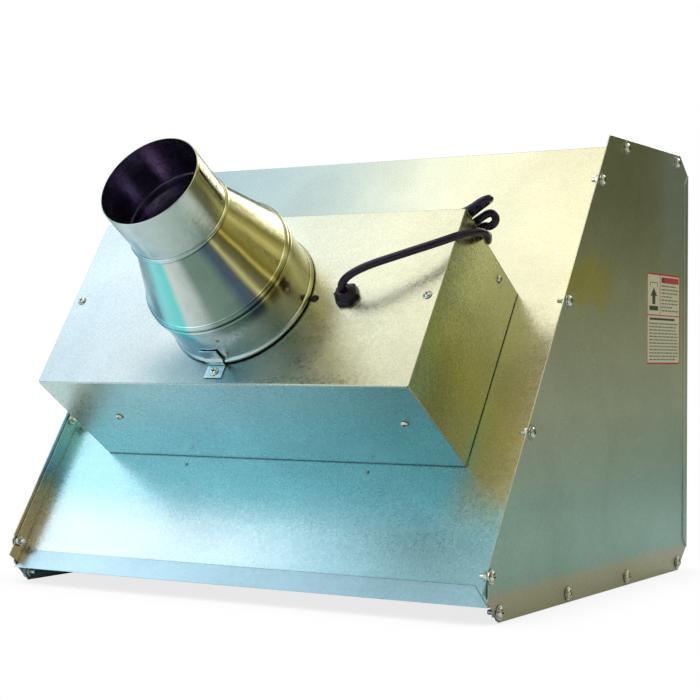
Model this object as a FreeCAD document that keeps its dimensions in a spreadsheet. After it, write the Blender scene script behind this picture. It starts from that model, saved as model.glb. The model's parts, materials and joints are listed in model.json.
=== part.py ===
import FreeCAD, Part
import math
import os
import re

import Sketcher
from FreeCAD import Placement, Rotation, Vector

# A bench-top fume booth of galvanised sheet.  Millimetres, +Z up.
# The operator stands at -Y and looks along +Y into the open front.
# The origin is on the bench plane, under the middle of the front edge.
# The rear panel slopes, and most pieces behind it are drawn in its own axes:
#   across  to the right as seen from behind, which is -X
#   up      up the slope
#   out     away from the panel's outer face, to the rear and up

SIZES = {
    "width": 559.0,
    "height": 471.0,
    "sheet": 1.0,
    "front_low": 24.0,
    "front_high": 451.0,
    "toe": 27.0,
    "heel": 492.0,
    "foot_back": 514.2,
    "foot_high": 50.3,
    "heel_high": 21.0,
    "top_front": 24.0,
    "top_back": 233.4,
    "hem": 11.0,
    "corner_radius": 6.0,
    "back_inset": 20.3,
    "back_top": 507.6,
    "back_flange": 15.8,
    "back_bottom": -25.9,
    "floor_level": 15.7,
    "floor_turn_top": -7.3,
    "floor_turn_half": 260.0,
    "top_level": 454.0,
    "box_long": 432.0,
    "box_tall": 203.2,
    "box_deep": 139.6,
    "box_up": 217.4,
    "box_flange": 12.0,
    "end_flange": 16.0,
    "bend": 1.6,
    "window_wide": 330.0,
    "window_tall": 175.0,
    "tube_radius": 76.2,
    "tube_wall": 0.8,
    "tube_out": 47.0,
    "tube_in": 92.0,
    "bead": 2.2,
    "outlet_radius": 50.8,
    "outlet_start": 126.0,
    "outlet_end": 184.3,
    "motor_radius": 40.0,
    "motor_back": 8.0,
    "motor_front": -36.0,
    "shaft_radius": 4.0,
    "bush_gap": 0.04,
    "impeller_radius": 73.0,
    "impeller_at": -68.0,
    "strap_wide": 16.0,
    "strap_thick": 1.5,
    "bracket_wide": 20.0,
    "bracket_thick": 1.2,
    "gland_across": 119.1,
    "cord_radius": 3.9,
    "plug_across": 83.4,
    "plug_radius": 4.3,
    "filter_wide": 356.0,
    "filter_tall": 203.0,
    "filter_deep": 19.0,
    "gasket": 4.0,
    "rail_long": 150.0,
    "label_wide": 102.0,
    "label_tall": 100.0,
    "screw_radius": 2.4,
    "screw_head": 5.0,
    "screw_flange": 6.9,
    "screw_flange_thick": 1.3,
    "small_screw_radius": 1.9,
    "small_screw_head": 4.4,
    "rivet_radius": 1.6,
}

os.makedirs("parts", exist_ok=True)
doc = FreeCAD.newDocument("fume_booth")
sheet = doc.addObject("Spreadsheet::Sheet", "Sizes")
for row, (alias, amount) in enumerate(SIZES.items(), start=1):
    sheet.set(f"A{row}", alias)
    sheet.set(f"B{row}", str(amount))
    sheet.setAlias(f"B{row}", alias)
doc.recompute()

PIECES = []


# ---------------------------------------------------------------- helpers

def text(amount):
    """An amount as an expression: a string stays, a number is written out."""
    return amount if isinstance(amount, str) else f"{amount:.5f}"


def size(amount):
    """The value, in millimetres, of an amount."""
    return float(sheet.evalExpression(text(amount)))


def linked(amount):
    """The same expression with its sizes read from the sheet."""
    names = r"\b(" + "|".join(sorted(SIZES, key=len, reverse=True)) + r")\b"
    return re.sub(names, r"Sizes.\1", text(amount))


def bind(thing, prop, amount):
    thing.setExpression(prop, linked(amount))


def piece(thing, label, place=None):
    """Names a sub-part, puts it in its place and keeps it for export."""
    thing.Label = label
    if place is not None:
        thing.Placement = place
    PIECES.append(thing)
    return thing


def new_body(label, place=None):
    return piece(doc.addObject("PartDesign::Body", label), label, place)


def new_sketch(body, role, lift=0):
    """A sketch on one of the body's origin planes, lifted along its normal."""
    sketch = body.newObject("Sketcher::SketchObject", body.Name + "_sketch")
    plane = next(f for f in body.Origin.OriginFeatures if f.Role == role)
    sketch.AttachmentSupport = (plane, [""])
    sketch.MapMode = "FlatFace"
    bind(sketch, "AttachmentOffset.Base.z", lift)
    return sketch


def pin_point(sketch, geometry, end, x, y):
    for kind, amount in (("DistanceX", x), ("DistanceY", y)):
        constraint = Sketcher.Constraint(kind, -1, 1, geometry, end, size(amount))
        index = sketch.addConstraint(constraint)
        bind(sketch, f"Constraints[{index}]", amount)


def draw_outline(sketch, corners):
    """A closed outline.  A corner is (x, y), or (x, y, bulge) where the side
    that leaves it is an arc, which stands out by bulge on its right."""
    points = [Vector(size(c[0]), size(c[1]), 0) for c in corners]
    sides = []
    for index, corner in enumerate(corners):
        start, end = points[index], points[(index + 1) % len(points)]
        if len(corner) == 3:
            along = (end - start).normalize()
            aside = Vector(along.y, -along.x, 0) * size(corner[2])
            middle = (start + end) * 0.5 + aside
            side = Part.Arc(start, middle, end)
        else:
            side = Part.LineSegment(start, end)
        sides.append((sketch.addGeometry(side), side))
    for index, (geometry, side) in enumerate(sides):
        first, last = 1, 2
        if isinstance(side, Part.Arc):
            if sketch.getPoint(geometry, 1).distanceToPoint(points[index]) > 1e-6:
                first, last = 2, 1
            radius = sketch.Geometry[geometry].Radius
            sketch.addConstraint(Sketcher.Constraint("Radius", geometry, radius))
        sides[index] = (geometry, first, last)
    for index, (geometry, first, last) in enumerate(sides):
        after, after_first, _ = sides[(index + 1) % len(sides)]
        sketch.addConstraint(
            Sketcher.Constraint("Coincident", geometry, last, after, after_first))
        pin_point(sketch, geometry, first, corners[index][0], corners[index][1])


def draw_rectangle(sketch, low_x, high_x, low_y, high_y):
    draw_outline(sketch, [(low_x, low_y), (high_x, low_y),
                          (high_x, high_y), (low_x, high_y)])


def draw_circle(sketch, x, y, radius):
    centre = Vector(size(x), size(y), 0)
    circle = sketch.addGeometry(Part.Circle(centre, Vector(0, 0, 1), size(radius)))
    index = sketch.addConstraint(Sketcher.Constraint("Radius", circle, size(radius)))
    bind(sketch, f"Constraints[{index}]", radius)
    pin_point(sketch, circle, 3, x, y)


def pad(body, sketch, length):
    """A pad along the sketch's normal."""
    doc.recompute()
    feature = body.newObject("PartDesign::Pad", body.Name + "_pad")
    feature.Profile = sketch
    bind(feature, "Length", length)
    doc.recompute()
    return feature


def cut_through(body, sketch, length=None):
    """A pocket through everything, or to a length on both sides of the sketch."""
    doc.recompute()
    before = body.Shape.Volume
    feature = body.newObject("PartDesign::Pocket", body.Name + "_pocket")
    feature.Profile = sketch
    feature.SideType = "Symmetric"
    if length is None:
        feature.Type = "ThroughAll"
    else:
        bind(feature, "Length", length)
    doc.recompute()
    assert body.Shape.Volume < before, f"{body.Label}: a pocket cuts nothing"
    return feature


def turned(label, place, corners):
    """A body of revolution about its own z from a half section of (r, z)."""
    body = new_body(label, place)
    sketch = new_sketch(body, "XZ_Plane")
    draw_outline(sketch, corners)
    doc.recompute()
    feature = body.newObject("PartDesign::Revolution", label + "_turn")
    feature.Profile = sketch
    feature.ReferenceAxis = (sketch, ["V_Axis"])
    feature.Angle = 360
    doc.recompute()
    return body


def round_edges(body, radius, chosen):
    """Rounds the body's straight edges for which chosen(low, high) is true."""
    names = []
    for index, edge in enumerate(body.Tip.Shape.Edges, start=1):
        box = edge.BoundBox
        low = Vector(box.XMin, box.YMin, box.ZMin)
        high = Vector(box.XMax, box.YMax, box.ZMax)
        if isinstance(edge.Curve, Part.Line) and chosen(low, high):
            names.append(f"Edge{index}")
    base = body.Tip
    feature = body.newObject("PartDesign::Fillet", body.Name + "_bend")
    feature.Base = (base, names)
    bind(feature, "Radius", radius)
    doc.recompute()


def shape_piece(label, shape, place=None):
    """A sub-part whose shape is made with Part's own functions."""
    thing = doc.addObject("Part::Feature", label)
    thing.Shape = shape
    return piece(thing, label, (place or Placement()).multiply(shape.Placement))


def near(amount, wanted):
    return abs(amount - wanted) < 0.01


# ---------------------------------------------------------------- the slope

SLOPE_ANGLE = math.atan2(size("height - foot_high"), size("foot_back - top_back"))
UP = Vector(0, -math.cos(SLOPE_ANGLE), math.sin(SLOPE_ANGLE))
OUT = Vector(0, math.sin(SLOPE_ANGLE), math.cos(SLOPE_ANGLE))
SLOPE_EDGE = Vector(0, size("foot_back"), size("foot_high"))
SLOPE_BASE = SLOPE_EDGE - OUT * size("back_inset")
SLOPE_TURN = (Rotation(Vector(1, 0, 0), -math.degrees(SLOPE_ANGLE))
              * Rotation(Vector(0, 0, 1), 180))


def on_slope(across=0, up=0, out=0):
    base = SLOPE_BASE + Vector(-size(across), 0, 0) + UP * size(up) + OUT * size(out)
    return Placement(base, SLOPE_TURN)


def slope_point(up, out):
    """The row's (y, z) of a place on the slope."""
    place = SLOPE_BASE + UP * up + OUT * out
    return place.y, place.z


BACK = on_slope()
BOX = on_slope(0, "box_up", 0)
FAN = on_slope(0, "box_up - 0.9", "box_deep")
INNER_HALF = "width/2 - sheet"

# Screw places: up the slope, along the floor flange and along the top flange.
SLOPE_SCREWS = [-3.0, 149.0, 301.0, 453.0]
SLOPE_SCREW_OUT = 11.8
FLOOR_SCREWS = [30.0, 184.0, 338.0, 492.0]
FLOOR_SCREW_LEVEL = 9.0
TOP_SCREWS = [36.0, 189.0]
TOP_SCREW_LEVEL = 462.0
FACE_SCREW_ACROSS = 205.5
STAY_ACROSS = [-152.3, 183.9]
STAY_OUT = 76.0
GROUND_SCREW = (306.1, 43.0)
BRACKET_SCREW_RADIUS = 87.2


def panel_screw_places():
    """(y, z) of every screw through a side panel."""
    places = [slope_point(up, SLOPE_SCREW_OUT) for up in SLOPE_SCREWS]
    places += [(along, FLOOR_SCREW_LEVEL) for along in FLOOR_SCREWS]
    places += [(along, TOP_SCREW_LEVEL) for along in TOP_SCREWS]
    return places


# ---------------------------------------------------------------- the panels

def make_side_panel(label, side):
    body = new_body(label)
    inner = INNER_HALF if side > 0 else "-width/2"
    outline = new_sketch(body, "YZ_Plane", inner)
    draw_outline(outline, [(0, "front_low"), ("toe", 0), ("heel", 0),
                           ("foot_back", "heel_high"), ("foot_back", "foot_high"),
                           ("top_back", "height"), ("top_front", "height"),
                           (0, "front_high")])
    pad(body, outline, "sheet")
    fold = new_sketch(body, "YZ_Plane", "width/2" if side > 0 else "-width/2 - sheet")
    draw_outline(fold, [(0, "front_low"), ("hem", "front_low + hem"),
                        ("hem", "front_high - hem"), (0, "front_high")])
    pad(body, fold, "sheet")
    holes = new_sketch(body, "YZ_Plane", inner)
    for y, z in panel_screw_places():
        draw_circle(holes, y, z, "screw_radius")
    cut_through(body, holes)

    def top_corner(low, high):
        return near(low.y, size("top_back")) and near(high.y, size("top_back"))
    round_edges(body, "corner_radius", top_corner)


def make_cross_panel(label, profile, flange, screw_places):
    """A sheet between the side panels: a side-view profile, and a flange at
    each end that is turned against the side panel."""
    body = new_body(label)
    main = new_sketch(body, "YZ_Plane", "-(width/2 - sheet)")
    draw_outline(main, profile)
    pad(body, main, "width - 2*sheet")
    for start in ("-(width/2 - sheet)", "width/2 - 2*sheet"):
        end = new_sketch(body, "YZ_Plane", start)
        draw_outline(end, flange)
        pad(body, end, "sheet")
    holes = new_sketch(body, "YZ_Plane")
    for y, z in screw_places:
        draw_circle(holes, y, z, "screw_radius")
    cut_through(body, holes)
    return body


def make_top_panel():
    behind = size("-sheet - 0.1")
    low_up = (size("top_level") - slope_point(0, behind)[1]) / UP.z
    high_up = low_up + 8.0
    profile = [(5.0, "top_level"), slope_point(low_up, behind),
               slope_point(high_up, behind), slope_point(high_up, behind - size("sheet")),
               slope_point(low_up + size("sheet"), behind - size("sheet")),
               (17.0, "top_level + sheet"), (17.0, "top_level + 2*sheet"),
               (5.8, "top_level + 2*sheet")]
    flange = [(14.0, "top_level"), (206.0, "top_level"),
              (200.0, "height - 1"), (26.0, "height - 1")]
    places = [(along, TOP_SCREW_LEVEL) for along in TOP_SCREWS]
    make_cross_panel("top_panel", profile, flange, places)


def make_floor_panel():
    outer, inner = size("sheet") + 0.05, 0.05
    low = (size("floor_level") - slope_point(0, outer)[1]) / UP.z
    fold = (size("floor_level + sheet") - slope_point(0, inner)[1]) / UP.z
    high = size("floor_turn_top")
    profile = [(9.0, "floor_level"), slope_point(low, outer), slope_point(high, outer),
               slope_point(high, inner), slope_point(fold, inner),
               (21.0, "floor_level + sheet"), (21.0, "floor_level + 2*sheet"),
               (9.0, "floor_level + 2*sheet")]
    flange = [(15.0, "floor_level"), ("toe + 1", 1.5), ("heel + 2", 1.5),
              ("heel + 14", "floor_level")]
    places = [(along, FLOOR_SCREW_LEVEL) for along in FLOOR_SCREWS]
    body = make_cross_panel("floor_panel", profile, flange, places)
    mitre = new_sketch(body, "XZ_Plane")
    mitre_low, mitre_high = size("floor_level") + 2.1, slope_point(high, outer)[1]
    for side in (-1, 1):
        edge, beyond = size("width/2 - 2*sheet") - 0.2, size("width/2")
        corners = [(edge, mitre_low), (beyond, mitre_low), (beyond, mitre_high + 1),
                   (size("floor_turn_half"), mitre_high + 1),
                   (size("floor_turn_half"), mitre_high)]
        draw_outline(mitre, [(side * x, z) for x, z in corners])
    cut_through(body, mitre)


def make_back_panel():
    body = new_body("back_panel", BACK)
    flat = new_sketch(body, "XY_Plane", "-sheet")
    draw_rectangle(flat, f"-({INNER_HALF})", INNER_HALF, "back_bottom", "back_top")
    draw_rectangle(flat, "-window_wide/2", "window_wide/2",
                   "box_up - window_tall/2", "box_up + window_tall/2")
    pad(body, flat, "sheet")
    for low, high in ((f"-({INNER_HALF})", "-(width/2 - 2*sheet)"),
                      ("width/2 - 2*sheet", INNER_HALF)):
        turn = new_sketch(body, "XY_Plane", "-sheet")
        draw_rectangle(turn, low, high, "back_bottom + 4", "back_top - 8")
        pad(body, turn, "back_flange + sheet")
    holes = new_sketch(body, "YZ_Plane")
    for up in SLOPE_SCREWS:
        draw_circle(holes, up, SLOPE_SCREW_OUT, "screw_radius")
    cut_through(body, holes)
    rivets = new_sketch(body, "XY_Plane")
    for across, up in rivet_places():
        draw_circle(rivets, across, up, "rivet_radius")
    cut_through(body, rivets, 6)


# ---------------------------------------------------------------- the fan box

def make_box_cover():
    body = new_body("fan_box_cover", BOX)
    section = new_sketch(body, "YZ_Plane", "-box_long/2")
    half, deep = "box_tall/2", "box_deep"
    draw_outline(section, [
        (f"-{half}", 0), (f"-{half} + box_flange", 0), (f"-{half} + box_flange", "sheet"),
        (f"-{half} + sheet", "sheet"), (f"-{half} + sheet", f"{deep} - sheet"),
        (f"{half} - sheet", f"{deep} - sheet"), (f"{half} - sheet", "sheet"),
        (f"{half} - box_flange", "sheet"), (f"{half} - box_flange", 0),
        (half, 0), (half, deep), (f"-{half}", deep)])
    pad(body, section, "box_long")

    def face_bend(low, high):
        return near(low.z, size(deep)) and near(high.x - low.x, size("box_long"))
    round_edges(body, "bend", face_bend)
    face = new_sketch(body, "XY_Plane", "box_deep")
    draw_circle(face, 0, -0.9, "tube_radius + 0.3")
    draw_circle(face, "gland_across", 0, "10.6")
    draw_circle(face, "plug_across", -2.1, "plug_radius - 1")
    for across in (-FACE_SCREW_ACROSS, FACE_SCREW_ACROSS):
        draw_circle(face, across, 0, "small_screw_radius")
    for across, up in bracket_screw_places():
        draw_circle(face, across, up - 0.9, "small_screw_radius")
    for across in ("-box_long/2", "box_long/2"):
        for up in ("-box_tall/2", "box_tall/2"):
            draw_circle(face, across, up, 1.6)
    cut_through(body, face, 6)
    walls = new_sketch(body, "XZ_Plane")
    for across in STAY_ACROSS:
        draw_circle(walls, across, STAY_OUT, "small_screw_radius")
    cut_through(body, walls)


def make_box_end(label, side):
    """An end plate with a flange all round that lies inside the cover."""
    body = new_body(label, BOX)
    low = "box_long/2 - end_flange" if side > 0 else "-box_long/2"
    ring = new_sketch(body, "YZ_Plane", low)
    draw_rectangle(ring, "-box_tall/2 + sheet", "box_tall/2 - sheet",
                   "sheet", "box_deep - sheet")
    draw_rectangle(ring, "-box_tall/2 + 2*sheet", "box_tall/2 - 2*sheet",
                   "2*sheet", "box_deep - 2*sheet")
    pad(body, ring, "end_flange")
    plate = new_sketch(body, "YZ_Plane", "box_long/2 - sheet" if side > 0 else "-box_long/2")
    draw_rectangle(plate, "-box_tall/2 + sheet", "box_tall/2 - sheet",
                   "sheet", "box_deep - sheet")
    pad(body, plate, "sheet")
    face = new_sketch(body, "XY_Plane", "box_deep")
    draw_circle(face, side * FACE_SCREW_ACROSS, 0, "small_screw_radius")
    cut_through(body, face, 6)
    if side > 0:
        ground = new_sketch(body, "YZ_Plane", "box_long/2")
        draw_circle(ground, f"{GROUND_SCREW[0]} - box_up", GROUND_SCREW[1],
                    "small_screw_radius")
        cut_through(body, ground, 6)


def make_box_stay(label, across):
    """A strap across the box, with a foot screwed to each long wall."""
    body = new_body(label, on_slope(across, "box_up", 0))
    section = new_sketch(body, "YZ_Plane", -9.0)
    wall = size("box_tall/2 - sheet")
    thick = size("bracket_thick")
    low, high = STAY_OUT - 10.0, STAY_OUT + 10.0
    draw_outline(section, [(-wall, low), (-wall + thick, low),
                           (-wall + thick, high - thick), (wall - thick, high - thick),
                           (wall - thick, low), (wall, low), (wall, high), (-wall, high)])
    pad(body, section, 18.0)
    holes = new_sketch(body, "XZ_Plane")
    draw_circle(holes, 0, STAY_OUT, "small_screw_radius")
    cut_through(body, holes)


# ---------------------------------------------------------------- the fan

def make_fan_tube():
    outer, wall, bead = size("tube_radius"), size("tube_wall"), size("bead")
    inner = outer - wall
    body = turned("fan_tube", FAN, [
        (outer, "-tube_in"), (outer, -86.0, bead), (outer, -80.0), (outer, 0.7, bead),
        (outer, 6.3), (outer, "tube_out"), (inner, "tube_out"), (inner, 6.3, -bead),
        (inner, 0.7), (inner, -80.0, -bead), (inner, -86.0), (inner, "-tube_in")])
    lead = new_sketch(body, "YZ_Plane", "tube_radius")
    draw_circle(lead, 0, -25.0, 5.0)
    cut_through(body, lead, 20)


def bracket_screw_places():
    return [(0.0, -BRACKET_SCREW_RADIUS), (0.0, BRACKET_SCREW_RADIUS)]


def make_tube_bracket(label, side):
    """An angle with one leg on the face and one, joggled over the bead, on the
    tube."""
    turn = Placement(Vector(), Rotation(Vector(0, 0, 1), 0 if side > 0 else 180))
    body = new_body(label, FAN.multiply(turn))
    section = new_sketch(body, "YZ_Plane", "-bracket_wide/2")
    thick = size("bracket_thick")
    foot, tube = size("tube_radius + bead") + 0.15, size("tube_radius") + 0.75
    draw_outline(section, [(foot, 0), (94.0, 0), (94.0, thick), (foot + thick, thick),
                           (foot + thick, 7.0), (tube + thick, 10.5),
                           (tube + thick, 21.5), (tube, 21.5), (tube, 10.0), (foot, 6.5)])
    pad(body, section, "bracket_wide")
    hole = new_sketch(body, "XY_Plane")
    draw_circle(hole, 0, BRACKET_SCREW_RADIUS, "small_screw_radius")
    cut_through(body, hole, 6)


def make_motor_strap(label, turn, level, foot_end):
    """A strap across the tube, with its feet turned along the tube's wall."""
    body = new_body(label, FAN.multiply(Placement(Vector(), Rotation(Vector(0, 0, 1), turn))))
    section = new_sketch(body, "XZ_Plane", "-strap_wide/2")
    thick = size("strap_thick")
    reach = math.sqrt(size("tube_radius - tube_wall") ** 2 - size("strap_wide/2") ** 2) - 0.02
    draw_outline(section, [(-reach, level), (reach, level), (reach, foot_end),
                           (reach - thick, foot_end), (reach - thick, level + thick),
                           (-reach + thick, level + thick), (-reach + thick, foot_end),
                           (-reach, foot_end)])
    pad(body, section, "strap_wide")
    hole = new_sketch(body, "XY_Plane")
    draw_circle(hole, 0, 0, 4.2)
    cut_through(body, hole)


def make_motor():
    radius, back, front = "motor_radius", "motor_back", "motor_front"
    turned("motor_housing", FAN, [
        (0, 20.0), (0, 5.0), (7.0, 5.0), (7.0, -2.0), (9.0, -2.0), (9.0, f"{back} - 1.2"),
        (f"{radius} - 1.2", f"{back} - 1.2"), (f"{radius} - 1.2", front), (radius, front),
        (radius, back), (4.0, back), (4.0, 20.0)])
    turned("motor_end_cover", FAN, [
        (7.0, f"{front} - 2"), (radius, f"{front} - 2"), (radius, front), (9.0, front),
        (9.0, f"{front} + 6"), (7.0, f"{front} + 6")])
    bushes = []
    for low, high in ((size(front) - 2.0, size(front) + 6.0), (-2.0, 5.0)):
        bushes.append(ring(size("shaft_radius + bush_gap"), 7.0, low, high))
    shape_piece("motor_bushes", Part.makeCompound(bushes), FAN)
    turned("motor_stator", FAN, [(20.3, -26.0), (38.8, -26.0), (38.8, -6.0), (20.3, -6.0)])
    coils = [ring(22.0, 35.0, -33.0, -26.1), ring(22.0, 35.0, -5.9, 1.0)]
    shape_piece("motor_windings", Part.makeCompound(coils), FAN)
    turned("motor_rotor", FAN, [("shaft_radius", -27.0), (19.7, -27.0),
                                (19.7, -5.0), ("shaft_radius", -5.0)])
    turned("motor_shaft", FAN, [(0, -88.0), (3.4, -88.0), ("shaft_radius", -87.4),
                                ("shaft_radius", 3.5), (3.5, 4.0), (0, 4.0)])
    nut = hexagon(6.5, 5.0).cut(Part.makeCylinder(4.0, 5.0))
    level = size("motor_back") + 2 * size("strap_thick") + 0.1
    nut.translate(Vector(0, 0, level))
    shape_piece("motor_nut", nut, FAN)


def ring(inner, outer, low, high):
    start = Vector(0, 0, low)
    return Part.makeCylinder(outer, high - low, start).cut(
        Part.makeCylinder(inner, high - low, start))


def hexagon(across_flats, height):
    """A six-sided prism on z = 0."""
    corner = across_flats / math.cos(math.radians(30))
    points = [Vector(corner * math.cos(math.radians(60 * side)),
                     corner * math.sin(math.radians(60 * side)), 0) for side in range(7)]
    return Part.Face(Part.makePolygon(points)).extrude(Vector(0, 0, height))


def blade_section(radius, chord, thick, pitch):
    """A slim rounded blade section, square to the blade's length."""
    sweep = Vector(0, math.cos(math.radians(pitch)), math.sin(math.radians(pitch)))
    across = Vector(0, -sweep.z, sweep.y)
    centre = Vector(radius, 0, 0)
    nose, tail = centre - sweep * (chord / 2), centre + sweep * (chord / 2)
    crown = centre + across * (chord * 0.07)
    over = Part.Arc(nose + across * thick, crown + across * thick, tail + across * thick)
    under = Part.Arc(tail, crown, nose)
    return Part.Wire([over.toShape(), Part.makeLine(tail + across * thick, tail),
                      under.toShape(), Part.makeLine(nose, nose + across * thick)])


def make_impeller():
    hub_radius, hub_half, blades = 17.0, 12.0, 5
    shape = Part.makeCylinder(hub_radius, 2 * hub_half, Vector(0, 0, -hub_half))
    root = blade_section(hub_radius - 5, 24.0, 1.5, 42.0)
    middle = blade_section(44.0, 36.0, 1.5, 33.0)
    tip = blade_section(size("impeller_radius") - 1.2, 42.0, 1.5, 24.0)
    blade = Part.makeLoft([root, middle, tip], True)
    for index in range(blades):
        turned_blade = blade.copy()
        turned_blade.rotate(Vector(), Vector(0, 0, 1), 360 / blades * index)
        shape = shape.fuse(turned_blade)
    bore = Part.makeCylinder(size("shaft_radius"), 4 * hub_half, Vector(0, 0, -2 * hub_half))
    shape = shape.cut(bore)
    shape = shape.common(Part.makeCylinder(size("impeller_radius"), 60, Vector(0, 0, -30)))
    place = FAN.multiply(Placement(Vector(0, 0, size("impeller_at")), Rotation()))
    shape_piece("impeller", shape, place)
    nut = hexagon(6.5, 5.0).cut(Part.makeCylinder(size("shaft_radius"), 5.0))
    nut.translate(Vector(0, 0, size("impeller_at") - hub_half - 5.0))
    shape_piece("impeller_nut", nut, FAN)


# ---------------------------------------------------------------- the reducer

def make_reducer():
    outer = size("tube_radius") + 0.1
    wall = size("tube_wall")
    outlet = size("outlet_radius")
    start, end = size("outlet_start"), size("outlet_end")
    turned("reducer_cone", FAN, [
        (outer + wall, 44.5), (outer + wall, 48.5, 1.8), (outer + wall - 0.8, 53.0, 2.2),
        (outer - 1.0, 59.5), (outlet + 0.3, start - 1.5), (outlet - wall - 0.1, start + 1.0),
        (outlet - wall - 0.1, start + 8), (outlet - 2 * wall - 0.1, start + 8),
        (outlet - 2 * wall - 0.1, start + 0.5), (outlet - wall + 0.2, start - 2.3),
        (outer - 2.0, 59.2), (outer - 0.9, 53.0, -1.2), (outer, 48.5), (outer, 44.5)])
    turned("outlet_pipe", FAN, [
        (outlet - wall, start + 1.4), (outlet, start + 0.2, 2.2), (outlet, start + 5.6),
        (outlet, end - 0.4), (outlet - 0.4, end), (outlet - wall, end)])


# ---------------------------------------------------------------- wiring

def make_gland():
    bore = size("cord_radius") + 0.3
    flange = hexagon(11.4, 5.0)
    dome = Part.makeCone(10.8, 7.2, 6.5, Vector(0, 0, 5.0))
    thread = Part.makeCylinder(10.4, 14.0, Vector(0, 0, -14.0))
    shape = flange.fuse([dome, thread]).cut(Part.makeCylinder(bore, 60, Vector(0, 0, -30)))
    place = FAN.multiply(Placement(Vector(size("gland_across"), 0.9, 0), Rotation()))
    shape_piece("strain_relief", shape.removeSplitter(), place)
    nut = hexagon(13.5, 4.0).cut(Part.makeCylinder(10.4, 4.0))
    nut.translate(Vector(0, 0, -size("sheet") - 4.0))
    shape_piece("strain_relief_nut", nut, place)


def swept(points, radius):
    """A round cable along a smooth curve through the points, swept in short
    spans so that its section stays square to the curve."""
    spans = 60
    curve = Part.BSplineCurve()
    curve.interpolate(points)
    start, end = curve.FirstParameter, curve.LastParameter
    stops = [start + (end - start) * stop / spans for stop in range(spans + 1)]
    spine = Part.Wire([curve.toShape(low, high) for low, high in zip(stops, stops[1:])])
    section = Part.Circle(curve.value(start), curve.tangent(start)[0], radius)
    return spine.makePipeShell([Part.Wire(section.toShape())], True, False)


def box_place(across, up, out):
    """A place beside the box, from its face's outer corner that the cord
    passes: to the side, up the slope and out of the face."""
    return Vector(size("box_long/2") + across, size("box_tall/2") + up,
                  size("box_deep") + out)


# The cord from the gland to the box's corner, as places beside that corner.
CORD_LEAD = [(-48.0, -77.0, 25.0), (-22.0, -63.0, 20.5), (-2.0, -48.5, 13.5),
             (8.0, -36.0, 5.0), (14.0, -25.0, -6.0), (16.5, -17.5, -17.0),
             (15.5, -15.0, -28.0), (11.5, -11.5, -37.0), (6.5, -3.0, -44.0),
             (1.5, 4.8, -48.5)]

# The folded cord behind the box's edge.  Each run starts at the corner, slants
# back over the long wall and then lies straight under the tie: its place at the
# corner, and its (up, out) on the slant and under the tie.
CORD_RUNS = [((-7.0, 6.6, -54.5), (7.4, -62.5), (6.0, -82.0)),
             ((5.0, 6.0, -36.0), (6.2, -50.0), (6.2, -70.0)),
             ((4.0, 11.0, -27.5), (6.4, -39.5), (6.4, -58.0)),
             ((5.0, 14.5, -16.0), (6.8, -28.5), (6.4, -46.0)),
             ((5.0, 7.5, -6.5), (6.2, -17.5), (6.4, -34.0))]
CORD_LOOPS = {2: [(12.0, 3.2, -32.8), (16.2, 5.6, -31.2), (17.2, 9.4, -28.6),
                  (14.2, 12.6, -26.0)],
              4: [(12.5, 18.6, -13.5), (16.0, 18.0, -10.0), (15.5, 14.5, -6.2),
                  (11.0, 10.8, -5.0)]}
CORD_SLANT, CORD_MIDDLE, CORD_TIE, CORD_STRAIGHT, CORD_TURN = (
    -20.0, -41.0, -62.0, -87.0, -112.0)
TIE_ACROSS = -78.0
CORD_END = [(-132.0, 8.6, -40.0), (-152.0, 14.0, -56.5), (-160.0, 14.5, -58.0),
            (-168.0, 14.5, -58.0), (-176.0, 14.5, -58.0)]


def cord_turn(first, second):
    """A half turn past the runs' far end, from one run to the next."""
    radius = (second[1] - first[1]) / 2
    centre_up, centre_out = (first[0] + second[0]) / 2, (first[1] + second[1]) / 2
    places = []
    for angle in (45, 90, 135):
        lean = math.radians(angle)
        places.append((CORD_TURN - radius * math.sin(lean), centre_up,
                       centre_out - radius * math.cos(lean)))
    return places


def cord_points():
    gland = Vector(size("gland_across"), 0, size("box_deep"))
    places = list(CORD_LEAD)
    for index, (corner, slant, tied) in enumerate(CORD_RUNS):
        middle = ((slant[0] + tied[0]) / 2, (slant[1] + tied[1]) / 2)
        run = [corner, (CORD_SLANT, *slant), (CORD_MIDDLE, *middle), (CORD_TIE, *tied),
               (CORD_STRAIGHT, *tied), (CORD_TURN, *tied)]
        if index % 2:
            run.reverse()
            places += cord_turn(CORD_RUNS[index - 1][2], tied)
        places += CORD_LOOPS.get(index, []) + run
    points = [gland + Vector(0, 0, out) for out in (-26.0, -18.0, -9.0, 0.0, 7.0, 12.0)]
    points += [gland + Vector(5.0, 2.0, 21.0), gland + Vector(24.0, 12.0, 27.0)]
    return points + [box_place(*place) for place in places + CORD_END]


def make_cord():
    """The cord, its tie and its plug; the cord ends on the plug's neck."""
    turn = Rotation(Vector(0, 1, 0), -90)
    end = Placement(box_place(*CORD_END[-1]), turn)
    neck = Part.makeCone(5.0, 8.0, 16.0)
    grip = Part.makeBox(24.0, 24.0, 26.0, Vector(-12.0, -12.0, 16.0))
    grip = grip.makeFillet(4.0, [edge for edge in grip.Edges
                                 if near(edge.BoundBox.ZLength, 26.0)])
    grip = grip.fuse(neck).removeSplitter()
    blades = [Part.makeBox(1.5, 6.4, 16.0, Vector(side * 6.35 - 0.75, -3.2 - 2, 42.0))
              for side in (-1, 1)]
    blades.append(Part.makeCylinder(2.4, 19.0, Vector(0, 7.0, 42.0)))
    seat = grip.copy()
    seat.Placement = end
    cord = swept(cord_points(), size("cord_radius")).cut(seat)
    shape_piece("power_cord", cord, BOX)
    shape_piece("cord_plug", grip, BOX.multiply(end))
    shape_piece("plug_pins", Part.makeCompound(blades), BOX.multiply(end))
    shape_piece("cord_tie", tie_ring(), BOX)


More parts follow.
